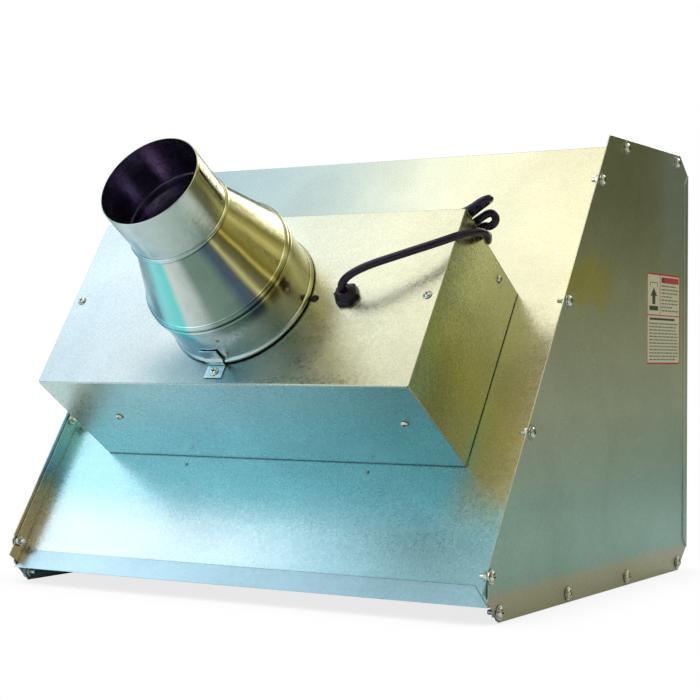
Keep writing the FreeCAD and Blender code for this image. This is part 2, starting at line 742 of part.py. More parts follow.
def tie_ring():
    """A flat band round the runs of the folded cord."""
    wide, tall, long, thick = 5.0, 11.4, 60.4, 0.9
    low = box_place(TIE_ACROSS, 0.3, -88.3)
    outer = Part.makeBox(wide, tall, long, low)
    inner = Part.makeBox(wide, tall - 2 * thick, long - 2 * thick,
                         low + Vector(0, thick, thick))
    sides = [edge for edge in outer.Edges if near(edge.BoundBox.XLength, wide)]
    outer = outer.makeFillet(4.0, sides)
    sides = [edge for edge in inner.Edges if near(edge.BoundBox.XLength, wide)]
    return outer.cut(inner.makeFillet(3.2, sides))


def make_leads():
    """The motor's leads, from its housing to the joint with the cord."""
    gland = Vector(size("gland_across"), 0.9, 0)
    side = size("motor_radius")
    lead = swept([Vector(side + 0.1, 0, -25.0), Vector(side + 8, 0, -25.0),
                  Vector(side + 20, 0, -25.0), Vector(76.0, 0, -25.0),
                  Vector(86.0, 0, -25.6), gland + Vector(-12, 0, -50.0),
                  gland + Vector(-2, 0, -59.0), gland + Vector(3.5, 0, -52.0),
                  gland + Vector(3.5, 0, -48.0), gland + Vector(3.5, 0, -44.6)], 2.2)
    shape_piece("motor_leads", lead, FAN)
    cap = Part.makeCone(4.0, 7.0, 17.6, gland + Vector(3.5, 0, -44.4))
    shape_piece("lead_connector", cap, FAN)
    turn = Placement(Vector(size("tube_radius"), 0, -25.0), Rotation(Vector(0, 1, 0), 90))
    shape_piece("lead_grommet", ring(2.25, 4.95, -3.3, 3.1), FAN.multiply(turn))


def make_hole_plug():
    radius = size("plug_radius")
    cap = Part.makeCone(radius, radius * 0.7, 1.8)
    stem = Part.makeCylinder(radius - 1, 5.0, Vector(0, 0, -5.0))
    place = BOX.multiply(Placement(Vector(size("plug_across"), -2.1, size("box_deep")),
                                   Rotation()))
    shape_piece("hole_plug", cap.fuse(stem).removeSplitter(), place)


# ---------------------------------------------------------------- the filter

GASKET_FACE = "-sheet - gasket"
RAIL_FOOT = 18.0


def filter_low():
    return size("box_up - filter_tall/2")


def rivet_places():
    """(across, up) of the rivets that hold the rails and the ledge."""
    across = size("filter_wide/2") + 1.6 + RAIL_FOOT / 2
    places = [(side * across, filter_low() + along)
              for side in (-1, 1) for along in (15.0, size("rail_long") - 15.0)]
    places += [(side * 110.0, filter_low() - 10.0) for side in (-1, 1)]
    return places


def make_filter():
    wide, tall, deep = "filter_wide", "filter_tall", "filter_deep"
    low_out = f"{GASKET_FACE} - 0.2 - {deep}"

    def block(name, margin, low, thick):
        box = doc.addObject("Part::Box", name)
        bind(box, "Length", f"{wide} - 2*{margin}")
        bind(box, "Width", f"{tall} - 2*{margin}")
        bind(box, "Height", thick)
        base = Vector(-size(wide) / 2 + margin, -size(tall) / 2 + margin, size(low))
        box.Placement = BOX.multiply(Placement(base, Rotation()))
        return box

    cavity = doc.addObject("Part::MultiFuse", "filter_hollow")
    cavity.Shapes = [block("filter_window", 18, low_out, deep),
                     block("filter_pocket", 2, f"{low_out} + 1", f"{deep} - 2")]
    frame = doc.addObject("Part::Cut", "filter_frame")
    frame.Base = block("filter_block", 0, low_out, deep)
    frame.Tool = cavity
    piece(frame, "filter_frame")
    piece(block("filter_media", 2.5, f"{low_out} + 1.5", f"{deep} - 3"), "filter_media")


def make_filter_holders():
    deep = size("gasket + filter_deep + sheet")
    reach = deep + 1.2
    side_start = size("filter_wide/2") + 0.6
    for label, side in (("filter_rail_left", 1), ("filter_rail_right", -1)):
        turn = Placement(Vector(0, filter_low() + size("rail_long"), 0), Rotation())
        body = new_body(label, BACK.multiply(turn))
        section = new_sketch(body, "XZ_Plane")
        points = [(side_start - 9.0, -reach), (side_start + 1, -reach),
                  (side_start + 1, -2.0), (side_start + 1 + RAIL_FOOT, -2.0),
                  (side_start + 1 + RAIL_FOOT, -1.0), (side_start, -1.0),
                  (side_start, -reach + 1), (side_start - 9.0, -reach + 1)]
        draw_outline(section, [(side * x, z) for x, z in points])
        pad(body, section, "rail_long")
        holes = new_sketch(body, "XY_Plane")
        across = side * (size("filter_wide/2") + 1.6 + RAIL_FOOT / 2)
        for along in (15.0, size("rail_long") - 15.0):
            draw_circle(holes, across, along - size("rail_long"), "rivet_radius")
        cut_through(body, holes, 6)
    ledge = new_body("filter_ledge", BACK)
    section = new_sketch(ledge, "YZ_Plane", -150.0)
    low = filter_low() - 0.3
    draw_outline(section, [(low - 18.0, -1.0), (low - 18.0, -2.0), (low - 1.0, -2.0),
                           (low - 1.0, -reach), (low + 8.0, -reach),
                           (low + 8.0, -reach + 1), (low, -reach + 1), (low, -1.0)])
    pad(ledge, section, 300.0)
    holes = new_sketch(ledge, "XY_Plane")
    for side in (-1, 1):
        draw_circle(holes, side * 110.0, filter_low() - 10.0, "rivet_radius")
    cut_through(ledge, holes, 6)
    gasket = new_body("filter_gasket", BOX)
    strip = new_sketch(gasket, "XY_Plane", GASKET_FACE)
    for extra in (0, 10):
        draw_rectangle(strip, f"-window_wide/2 - {extra}", f"window_wide/2 + {extra}",
                       f"-window_tall/2 - {extra}", f"window_tall/2 + {extra}")
    pad(gasket, strip, "gasket")


# ---------------------------------------------------------------- fasteners

def screw(shank_radius, head_radius, length, flange_radius=0.0, flange_thick=0.0):
    """A cross-recess pan-head screw along -z, with its head on z = 0 and a
    round flange under the head where it has one."""
    dome = head_radius * 0.56
    top = flange_thick + dome
    corners = [Vector(0, 0, -length), Vector(shank_radius * 0.8, 0, -length),
               Vector(shank_radius, 0, -length + 1), Vector(shank_radius, 0, 0)]
    if flange_thick > 0:
        corners += [Vector(flange_radius, 0, 0), Vector(flange_radius, 0, flange_thick)]
    corners += [Vector(head_radius, 0, flange_thick),
                Vector(head_radius, 0, flange_thick + dome * 0.3)]
    sides = [Part.makeLine(start, end) for start, end in zip(corners, corners[1:])]
    crown = Vector(head_radius * 0.72, 0, flange_thick + dome * 0.82)
    sides.append(Part.Arc(corners[-1], crown, Vector(0, 0, top)).toShape())
    sides.append(Part.makeLine(Vector(0, 0, top), corners[0]))
    solid = Part.Face(Part.Wire(sides)).revolve(Vector(), Vector(0, 0, 1), 360)
    slot_long, slot_wide, slot_deep = head_radius * 1.15, head_radius * 0.24, dome * 0.6
    for long_side, short_side in ((slot_long, slot_wide), (slot_wide, slot_long)):
        low = Vector(-long_side / 2, -short_side / 2, top - slot_deep)
        solid = solid.cut(Part.makeBox(long_side, short_side, dome, low))
    return solid


def facing(direction, place):
    """A placement whose z looks along direction."""
    return Placement(place, Rotation(Vector(0, 0, 1), direction))


# Each screw of a group is turned by this much more than the one before it.
HEAD_TURN = 37.0


def group(label, shape, places):
    """One sub-part made of the same solid at every place."""
    copies = []
    for index, place in enumerate(places):
        turn = Placement(Vector(), Rotation(Vector(0, 0, 1), HEAD_TURN * index))
        copy = shape.copy()
        copy.Placement = place.multiply(turn)
        copies.append(copy)
    shape_piece(label, Part.makeCompound(copies))


def make_fasteners():
    half = size("width/2")
    panel = screw(size("screw_radius"), size("screw_head"), 11.0,
                  size("screw_flange"), size("screw_flange_thick"))
    nut = hexagon(4.7, 3.2).cut(Part.makeCylinder(size("screw_radius"), 3.2))
    for name, side in (("left", -1), ("right", 1)):
        outward = Vector(side, 0, 0)
        heads = [facing(outward, Vector(side * half, y, z)) for y, z in panel_screw_places()]
        nuts = [facing(outward, Vector(side * (half - size("2*sheet") - 3.2), y, z))
                for y, z in panel_screw_places()]
        group(f"panel_screws_{name}", panel, heads)
        group(f"panel_nuts_{name}", nut, nuts)
    small = screw(size("small_screw_radius"), size("small_screw_head"), 9.0)
    places = [BOX.multiply(facing(Vector(0, 0, 1), Vector(across, 0, size("box_deep"))))
              for across in (-FACE_SCREW_ACROSS, FACE_SCREW_ACROSS)]
    for across in STAY_ACROSS:
        for side in (-1, 1):
            spot = Vector(across, side * size("box_tall/2"), STAY_OUT)
            places.append(BOX.multiply(facing(Vector(0, side, 0), spot)))
    spot = Vector(size("box_long/2"), GROUND_SCREW[0] - size("box_up"), GROUND_SCREW[1])
    places.append(BOX.multiply(facing(Vector(1, 0, 0), spot)))
    group("box_screws", small, places)
    places = [FAN.multiply(facing(Vector(0, 0, 1), Vector(x, y, size("bracket_thick"))))
              for x, y in bracket_screw_places()]
    group("bracket_screws", small, places)
    rivet = Part.makeCylinder(size("rivet_radius"), 4.0, Vector(0, 0, -3.6))
    rivet = rivet.fuse(Part.makeCone(3.2, 2.0, 1.0)).removeSplitter()
    inward = [BACK.multiply(facing(Vector(0, 0, -1), Vector(across, up, -2.0)))
              for across, up in rivet_places()]
    group("rail_rivets", rivet, inward)


def make_label():
    label = doc.addObject("Part::Box", "side_label")
    bind(label, "Length", 0.2)
    bind(label, "Width", "label_wide")
    bind(label, "Height", "label_tall")
    piece(label, "side_label", Placement(Vector(size("-width/2") - 0.2, 25.0, 234.0), Rotation()))


# ---------------------------------------------------------------- build

make_side_panel("side_panel_left", -1)
make_side_panel("side_panel_right", 1)
make_top_panel()
make_floor_panel()
make_back_panel()
make_box_cover()
make_box_end("fan_box_end_left", 1)
make_box_end("fan_box_end_right", -1)
make_box_stay("box_stay_right", STAY_ACROSS[0])
make_box_stay("box_stay_left", STAY_ACROSS[1])
make_fan_tube()
make_tube_bracket("tube_bracket_upper", 1)
make_tube_bracket("tube_bracket_lower", -1)
make_motor_strap("motor_strap_inner", 4.0, size("motor_back"), 42.0)
make_motor_strap("motor_strap_outer", -76.5, size("motor_back + strap_thick") + 0.1, 42.0)
make_motor()
make_impeller()
make_reducer()
make_gland()
make_cord()
make_leads()
make_hole_plug()
make_filter()
make_filter_holders()
make_fasteners()
make_label()
doc.recompute()

for thing in doc.Objects:
    bad = [state for state in thing.State if state in ("Invalid", "Error")]
    assert not bad, f"{thing.Label}: {bad}"
for thing in PIECES:
    assert not thing.Shape.isNull(), f"{thing.Label} is empty"
    assert thing.Shape.isValid(), f"{thing.Label} is not valid"

# The row's origin is on the bench, under the middle of the whole booth.
whole = Part.makeCompound([thing.Shape for thing in PIECES]).optimalBoundingBox()
for thing in PIECES:
    shape = thing.Shape.copy()
    shape.translate(Vector(0, -whole.Center.y, 0))
    shape.exportStep(f"parts/{thing.Label}.step")
print(len(PIECES), "sub-parts written, moved by", round(-whole.Center.y, 3), "mm in y")
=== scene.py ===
"""The looks of a galvanised bench-top exhaust booth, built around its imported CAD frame."""

import json
import math
import random

import bmesh
import bpy
from mathutils import Matrix, Vector, noise


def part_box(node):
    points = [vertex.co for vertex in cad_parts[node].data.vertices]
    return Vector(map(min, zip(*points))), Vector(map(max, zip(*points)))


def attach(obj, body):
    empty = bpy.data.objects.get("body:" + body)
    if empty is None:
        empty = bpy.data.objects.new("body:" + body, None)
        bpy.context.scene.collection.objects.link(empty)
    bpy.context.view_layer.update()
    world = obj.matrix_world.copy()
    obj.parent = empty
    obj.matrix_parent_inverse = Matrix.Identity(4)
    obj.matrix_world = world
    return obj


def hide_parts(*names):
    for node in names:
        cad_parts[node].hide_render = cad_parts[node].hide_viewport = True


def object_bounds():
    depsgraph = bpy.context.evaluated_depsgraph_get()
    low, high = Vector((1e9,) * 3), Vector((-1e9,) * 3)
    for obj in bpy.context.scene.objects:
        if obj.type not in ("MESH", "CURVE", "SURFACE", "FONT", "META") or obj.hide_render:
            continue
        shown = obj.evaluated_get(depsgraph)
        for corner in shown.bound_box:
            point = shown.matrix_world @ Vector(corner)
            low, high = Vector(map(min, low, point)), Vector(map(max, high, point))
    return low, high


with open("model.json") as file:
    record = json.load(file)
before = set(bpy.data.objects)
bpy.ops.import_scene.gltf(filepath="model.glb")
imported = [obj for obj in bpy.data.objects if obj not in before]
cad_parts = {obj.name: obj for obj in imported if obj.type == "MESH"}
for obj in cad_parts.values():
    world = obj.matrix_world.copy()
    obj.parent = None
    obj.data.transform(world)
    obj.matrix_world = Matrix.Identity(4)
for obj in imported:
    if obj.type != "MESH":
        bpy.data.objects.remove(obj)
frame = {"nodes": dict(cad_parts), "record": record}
cad_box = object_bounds()

MM = 0.001
NODES = frame["nodes"]

# The row's origin is under the middle of the whole object's box, this far behind the
# booth's front edge.
FRONT_TO_MIDDLE = -cad_box[0].y


def from_front(x, y, z):
    """A place whose y is measured from the booth's front edge."""
    return Vector((x, y - FRONT_TO_MIDDLE, z))


# The sloping back: a point on it, and the ways across, up and out of it.
SLOPE_POINT = from_front(0.0, 0.49725, 0.039)
ACROSS = Vector((-1.0, 0.0, 0.0))
UP = Vector((0.0, -0.55484, 0.83195))
OUT = Vector((0.0, 0.83195, 0.55484))

# How far out the fan box's face is, and how far up the duct's axis and the box's middle.
FACE_OUT = 139.6 * MM
AXIS_UP = 216.5 * MM
BOX_UP = 217.4 * MM


def slope_matrix(up, out):
    """The frame of the slope, moved up it and out of it."""
    place = SLOPE_POINT + UP * up + OUT * out
    turn = Matrix((ACROSS, UP, OUT)).transposed().to_4x4()
    return Matrix.Translation(place) @ turn


DUCT = slope_matrix(AXIS_UP, FACE_OUT)
BACK = slope_matrix(0.0, 0.0)
BOX = slope_matrix(BOX_UP, 0.0)


# ---------------------------------------------------------------- shader graphs

class Graph:
    """Makes and joins the nodes of one tree."""

    def __init__(self, tree):
        self.tree = tree

    def node(self, kind, inputs=None, **settings):
        """A new node with its settings and its inputs, which are values or sockets.
        Its kind is named without the ShaderNode that all of them start with."""
        made = self.tree.nodes.new("ShaderNode" + kind)
        for name, value in settings.items():
            setattr(made, name, value)
        for name, value in (inputs or {}).items():
            self.feed(made.inputs[name], value)
        return made

    def feed(self, socket, value):
        if isinstance(value, bpy.types.NodeSocket):
            self.tree.links.new(value, socket)
        else:
            socket.default_value = value

    def noise(self, place, scale, detail=3.0, roughness=0.55, distortion=0.0):
        inputs = {"Vector": place, "Scale": scale, "Detail": detail,
                  "Roughness": roughness, "Distortion": distortion}
        return self.node("TexNoise", inputs).outputs["Fac"]

    def cells(self, place, scale, output="Color"):
        return self.node("TexVoronoi", {"Vector": place, "Scale": scale}).outputs[output]

    def math(self, operation, *values):
        made = self.node("Math", dict(enumerate(values)), operation=operation)
        return made.outputs[0]

    def product(self, first, second):
        return self.math("MULTIPLY", first, second)

    def total(self, first, second):
        return self.math("ADD", first, second)

    def vector_math(self, operation, *values, output=0):
        made = self.node("VectorMath", dict(enumerate(values)), operation=operation)
        return made.outputs[output]

    def dot(self, first, second):
        return self.vector_math("DOT_PRODUCT", first, second, output="Value")

    def length(self, vector):
        return self.vector_math("LENGTH", vector, output="Value")

    def stretched(self, place, factors):
        return self.vector_math("MULTIPLY", place, factors)

    def vector(self, x, y, z):
        return self.node("CombineXYZ", {0: x, 1: y, 2: z}).outputs[0]

    def axes(self, place):
        """The three coordinates of a place."""
        made = self.node("SeparateXYZ", {0: place})
        return made.outputs[0], made.outputs[1], made.outputs[2]

    def true_normal(self):
        return self.node("NewGeometry").outputs["Normal"]

    def bevel(self, radius, samples):
        return self.node("Bevel", {"Radius": radius}, samples=samples).outputs[0]

    def is_seen(self):
        """1 for what the camera sees straight on, 0 for what lights or is reflected."""
        return self.node("LightPath").outputs["Is Camera Ray"]

    def span(self, value, low, high, new_low, new_high):
        """Maps low..high to new_low..new_high smoothly, and stops at the ends."""
        inputs = {"Value": value, "From Min": low, "From Max": high,
                  "To Min": new_low, "To Max": new_high}
        made = self.node("MapRange", inputs, interpolation_type="SMOOTHSTEP")
        return made.outputs["Result"]

    def ramp(self, value, stops):
        """Colours by value; each stop is (place, (red, green, blue))."""
        made = self.node("ValToRGB", {"Fac": value})
        bar = made.color_ramp.elements
        while len(bar) < len(stops):
            bar.new(1.0)
        for element, (place, colour) in zip(bar, stops):
            element.position = place
            element.color = (*colour, 1.0)
        return made.outputs["Color"]

    def mix(self, factor, first, second, blend="MIX"):
        made = self.node("Mix", data_type="RGBA", blend_type=blend)
        self.feed(made.inputs["Factor"], factor)
        self.feed(made.inputs[6], as_colour(first))
        self.feed(made.inputs[7], as_colour(second))
        return made.outputs[2]

    def times(self, colour, shade):
        """A colour times another colour."""
        return self.mix(1.0, colour, shade, "MULTIPLY")

    def dimmed(self, colour, value):
        """A colour times a single value."""
        return self.times(colour, self.vector(value, value, value))

    def fade(self, value, low, high, first, second, most=1.0):
        """The first colour where the value is low; where it is high, up to most of
        the second."""
        return self.mix(self.span(value, low, high, 0.0, most), first, second)

    def bump(self, height, distance, strength=1.0, normal=None):
        inputs = {"Height": height, "Distance": distance, "Strength": strength}
        if normal is not None:
            inputs["Normal"] = normal
        return self.node("Bump", inputs).outputs["Normal"]

    def facets(self, place, scale, tilt, normal):
        """The normal, tilted a little another way in each crystal."""
        colour = self.cells(place, scale)
        centred = self.vector_math("SUBTRACT", colour, (0.5, 0.5, 0.5))
        tilted = self.node("VectorMath", {0: centred, "Scale": tilt},
                           operation="SCALE").outputs[0]
        return self.vector_math("NORMALIZE", self.vector_math("ADD", normal, tilted))

    def around(self, place):
        """The turn about z of a place, from 0 to 1."""
        made = self.node("TexGradient", {"Vector": place}, gradient_type="RADIAL")
        return made.outputs["Fac"]

    def crevice_shade(self, colour, reach, low=0.50, high=0.86, dark=0.22):
        """The colour, darkened with painted shade where another surface is close."""
        near = self.node("AmbientOcclusion", {"Distance": reach}, samples=6).outputs["AO"]
        return self.dimmed(colour, self.span(near, low, high, dark, 1.0))


materials = {}


class Surface(Graph):
    """The nodes of one material, which is kept by its name in materials and ends in
    a Principled shader."""

    def __init__(self, name):
        self.material = bpy.data.materials.new(name)
        materials[name] = self.material
        self.material.use_nodes = True
        super().__init__(self.material.node_tree)
        self.shader = self.tree.nodes["Principled BSDF"]
        self.place = self.node("TexCoord").outputs["Object"]

    def finish(self, colour, roughness, normal=None, **others):
        """Sets the shader's inputs; Coat_Weight stands for "Coat Weight" and so on."""
        inputs = {"Base Color": colour, "Roughness": roughness}
        if normal is not None:
            inputs["Normal"] = normal
        inputs.update((name.replace("_", " "), value) for name, value in others.items())
        for name, value in inputs.items():
            self.feed(self.shader.inputs[name], value)

    def show(self, shader_node):
        """Makes another shader the one that the surface shows."""
        output = self.tree.nodes["Material Output"]
        self.feed(output.inputs["Surface"], shader_node.outputs[0])

    def local(self, matrix):
        """The place in the frame of a matrix that only turns and moves."""
        back = matrix.inverted()
        inputs = {"Vector": self.place, "Location": back.to_translation(),
                  "Rotation": back.to_euler()}
        return self.node("Mapping", inputs).outputs["Vector"]


def as_colour(value):
    if isinstance(value, tuple) and len(value) == 3:
        return (*value, 1.0)
    return value


# ---------------------------------------------------------------- materials

def soft_spot(graph, place, middle, reach):
    """1 at a middle and 0 beyond the reach along each axis."""
    away = graph.vector_math("SUBTRACT", place, middle)
    away = graph.stretched(away, tuple(1.0 / part for part in reach))
    return graph.span(graph.length(away), 0.25, 1.0, 1.0, 0.0)


# The casts are soft tints laid on the metal.  They stand in for the reflections of the
# room in the photograph, so they go by the place on the sheet.  A cast takes the graph
# and the place in the slope's frame: x across towards -X, y up the slope, z out of it.
# In graph.place, which is in the row's frame, z is the height.

# How far a cast reaches on each side of the middle, across the box, across the booth
# and up the box's end walls.
BOX_REACH = 240 * MM
BOOTH_REACH = 280 * MM
BOX_END_REACH = 110 * MM

# Where the face of the fan box's cover turns into its lower wall, and where the back
# turns into its side flange.
BOX_LOWER_EDGE = (-101.3 * MM, -100.8 * MM)
FLANGE_EDGE = (-276.8 * MM, -276.4 * MM)


def spread(graph, value, reach):
    """A value from -reach to reach, brought to 0 to 1."""
    return graph.span(value, -reach, reach, 0.0, 1.0)


def cover_cast(graph, place):
    """The fan box's cover: blue on its left, straw on its right, a painted dark reflection
    of the duct under it, and a blue-green lower wall."""
    x, y, _ = graph.axes(place)
    face = graph.ramp(spread(graph, x, BOX_REACH),
                      [(0.0, (0.74, 0.82, 0.88)), (0.30, (0.80, 0.83, 0.82)),
                       (0.62, (0.84, 0.82, 0.68)), (1.0, (0.84, 0.79, 0.60))])
    face = graph.dimmed(face, graph.span(y, -0.11, 0.06, 0.84, 1.0))
    # A painted dark reflection of the duct, laid as a soft spot under it.
    duct_reflection_shade = soft_spot(graph, place, (-0.005, -0.085, 0.14), (0.12, 0.055, 1.0))
    face = graph.mix(graph.product(duct_reflection_shade, 0.85), face, (0.20, 0.33, 0.38))
    wall = graph.ramp(spread(graph, x, BOX_REACH),
                      [(0.0, (0.84, 0.98, 0.99)), (0.40, (0.74, 0.86, 0.90)),
                       (1.0, (0.50, 0.60, 0.58))])
    return graph.mix(graph.span(y, *BOX_LOWER_EDGE, 1.0, 0.0), face, wall)


def far_side_cast(graph, place):
    """The far side and the back's flange: brown at the foot, blue higher up."""
    tall = graph.axes(graph.place)[2]
    return graph.ramp(tall, [(0.0, (0.86, 0.60, 0.34)), (0.095, (0.92, 0.66, 0.40)),
                             (0.115, (0.30, 0.38, 0.60)), (0.145, (0.40, 0.62, 0.99)),
                             (0.20, (0.44, 0.66, 0.99)), (0.45, (0.66, 0.68, 0.70))])


def back_cast(graph, place):
    """The sloping back: pale above, blue-green in the lee of the fan box."""
    x, y, _ = graph.axes(place)
    across = spread(graph, x, BOOTH_REACH)
    above = graph.ramp(across,
                       [(0.0, (0.44, 0.54, 0.56)), (0.35, (0.56, 0.62, 0.58)),
                        (0.75, (0.92, 0.87, 0.68)), (1.0, (0.88, 0.82, 0.60))])
    below = graph.ramp(across,
                       [(0.0, (0.92, 0.97, 0.99)), (0.5, (0.68, 0.86, 0.94)),
                        (0.75, (0.40, 0.62, 0.70)), (1.0, (0.24, 0.42, 0.48))])
    lee = graph.span(y, 0.02, 0.085, 0.0, 1.0)
    below = graph.mix(graph.product(lee, 0.8), below, (0.46, 0.86, 0.96))
    cast = graph.fade(y, 0.10, 0.26, below, above)
    # beside is a painted shadow and reflection of the fan box, on the back next to its end.
    beside = graph.product(graph.span(x, 0.195, 0.235, 0.0, 1.0),
                           graph.span(y, 0.035, 0.10, 0.0, 1.0))
    beside = graph.product(beside, graph.span(y, 0.18, 0.32, 1.0, 0.0))
    cast = graph.mix(beside, cast, (0.74, 0.62, 0.44))
    flange = graph.span(x, *FLANGE_EDGE, 1.0, 0.0)
    return graph.mix(flange, cast, far_side_cast(graph, place))


def side_cast(graph, place):
    """The near side: olive, with a painted ochre reflection in a band and a blue-green
    foot.
    """
    _, y, z = graph.axes(graph.place)
    tall = graph.ramp(z, [(0.0, (0.60, 0.56, 0.42)), (0.022, (0.60, 0.56, 0.44)),
                          (0.032, (0.40, 0.60, 0.58)), (0.10, (0.44, 0.62, 0.56)),
                          (0.19, (0.98, 0.92, 0.76)), (0.30, (0.96, 0.92, 0.70)),
                          (0.40, (0.62, 0.60, 0.42)), (0.47, (0.60, 0.58, 0.40))])
    depth = graph.total(y, FRONT_TO_MIDDLE)
    cool = graph.product(graph.span(depth, 0.05, 0.13, 1.0, 0.0),
                         graph.span(z, 0.25, 0.42, 0.0, 0.7))
    tall = graph.mix(cool, tall, (0.80, 0.90, 0.98))
    drift = graph.span(graph.noise(graph.place, 22.0, 3.0), 0.3, 0.7, -0.010, 0.010)
    high = graph.total(z, drift)
    # bloom is a painted ochre reflection in a wavy band across the near side, not a stain.
    bloom = graph.product(graph.span(high, 0.285, 0.305, 0.0, 1.0),
                          graph.span(high, 0.330, 0.352, 1.0, 0.0))
    bloom = graph.product(bloom, graph.span(depth, 0.205, 0.262, 0.0, 0.8))
    return graph.mix(bloom, tall, (0.99, 0.84, 0.22))


def lip_cast(graph, place):
    """The floor's turned-up edge: ice blue."""
    x = graph.axes(graph.place)[0]
    return graph.ramp(spread(graph, x, BOOTH_REACH),
                      [(0.0, (0.30, 0.46, 0.55)), (1.0, (0.62, 0.80, 0.90))])


def end_cast(graph, place):
    """The fan box's ends: yellow-green, paler up the slope."""
    y = graph.axes(place)[1]
    return graph.ramp(spread(graph, y, BOX_END_REACH),
                      [(0.0, (0.62, 0.74, 0.42)), (0.25, (0.80, 0.85, 0.30)),
                       (0.6, (0.78, 0.80, 0.42)), (1.0, (0.98, 0.98, 0.64))])


def zinc_sheet(name, matrix, streak, roughness=0.27, cast=None, outer=None):
    """Galvanised sheet: crystals, rolling streaks, water stains, a painted highlight along
    its edges and painted shade where other surfaces are close.  The cast lies only on the
    faces that look along outer, when that is given."""
    graph = Surface(name)
    place = graph.local(matrix)
    tint = (0.86, 0.88, 0.88)
    streaked = graph.stretched(place, streak)
    rolling = graph.noise(streaked, 60.0, 5.0, 0.65)
    clouds = graph.noise(place, 9.0, 4.0, 0.6, 0.6)
    stains = graph.noise(place, 24.0, 5.0, 0.7, 1.4)
    grain = graph.noise(place, 900.0, 2.0, 0.7)
    crystals = graph.cells(place, 340.0)
    colour = graph.fade(clouds, 0.3, 0.7, tint, tuple(part * 0.90 for part in tint))
    colour = graph.fade(stains, 0.60, 0.78, colour, (0.60, 0.62, 0.60), 0.16)
    colour = graph.dimmed(colour, graph.span(grain, 0.35, 0.65, 0.86, 1.06))
    straight = graph.true_normal()
    if cast:
        tints = cast(graph, place)
        if outer:
            is_outer = graph.math("GREATER_THAN", graph.dot(straight, outer), -0.05)
            tints = graph.mix(is_outer, (0.95, 0.96, 0.97), tints)
        colour = graph.times(colour, tints)
    # Painted shade where another surface is close.
    colour = graph.crevice_shade(colour, 2.5 * MM)
    crystal = graph.axes(crystals)[0]
    rough = graph.span(rolling, 0.3, 0.7, roughness - 0.02, roughness + 0.03)
    rough = graph.total(rough, graph.product(crystal, 0.08))
    rough = graph.total(rough, graph.span(stains, 0.6, 0.75, 0.0, 0.03))
    # rubbed here is a painted highlight along the edges, found from the bevel normal; it is
    # not wear.
    bevel = graph.bevel(1.0 * MM, 6)
    rubbed = graph.span(graph.dot(bevel, straight), 0.80, 0.985, 1.0, 0.0)
    colour = graph.mix(graph.product(rubbed, 0.75), colour, (0.97, 0.99, 0.98))
    normal = graph.facets(place, 380.0, 0.020, bevel)
    normal = graph.facets(place, 900.0, 0.042, normal)
    normal = graph.bump(grain, 0.02 * MM, 0.5, normal)
    graph.finish(colour, rough, normal, Metallic=1.0)


# The casts of the duct, painted reflections laid by the turn about its axis: on its
# cone, and, where they are fainter, on its straight parts.
DUCT_BANDS = [
    (0.06, (0.55, 0.60, 0.62)), (0.17, (0.24, 0.48, 0.56)), (0.205, (0.34, 0.92, 0.99)),
    (0.240, (0.26, 0.92, 0.95)), (0.256, (0.97, 0.99, 0.99)), (0.290, (0.80, 0.84, 0.86)),
    (0.315, (0.30, 0.40, 0.36)), (0.365, (0.24, 0.36, 0.32)), (0.392, (0.10, 0.15, 0.24)),
    (0.408, (0.14, 0.18, 0.20)), (0.418, (0.99, 0.88, 0.42)), (0.428, (0.34, 0.30, 0.14)),
    (0.448, (0.22, 0.20, 0.08)), (0.456, (0.97, 0.84, 0.40)), (0.466, (0.30, 0.26, 0.08)),
    (0.500, (0.62, 0.58, 0.28)), (0.515, (0.99, 0.94, 0.60)), (0.540, (0.36, 0.32, 0.13)),
    (0.60, (0.95, 0.92, 0.66)), (0.68, (0.55, 0.56, 0.48)), (0.85, (0.60, 0.62, 0.60))]

DUCT_CALM = [
    (0.06, (0.60, 0.64, 0.66)), (0.18, (0.40, 0.62, 0.70)), (0.225, (0.78, 0.92, 0.99)),
    (0.30, (0.86, 0.95, 0.97)), (0.36, (0.78, 0.88, 0.88)), (0.40, (0.62, 0.76, 0.78)),
    (0.44, (0.86, 0.92, 0.90)), (0.48, (0.56, 0.55, 0.34)), (0.51, (0.97, 0.92, 0.50)),
    (0.545, (0.52, 0.48, 0.20)), (0.60, (0.98, 0.95, 0.66)), (0.85, (0.60, 0.62, 0.60))]


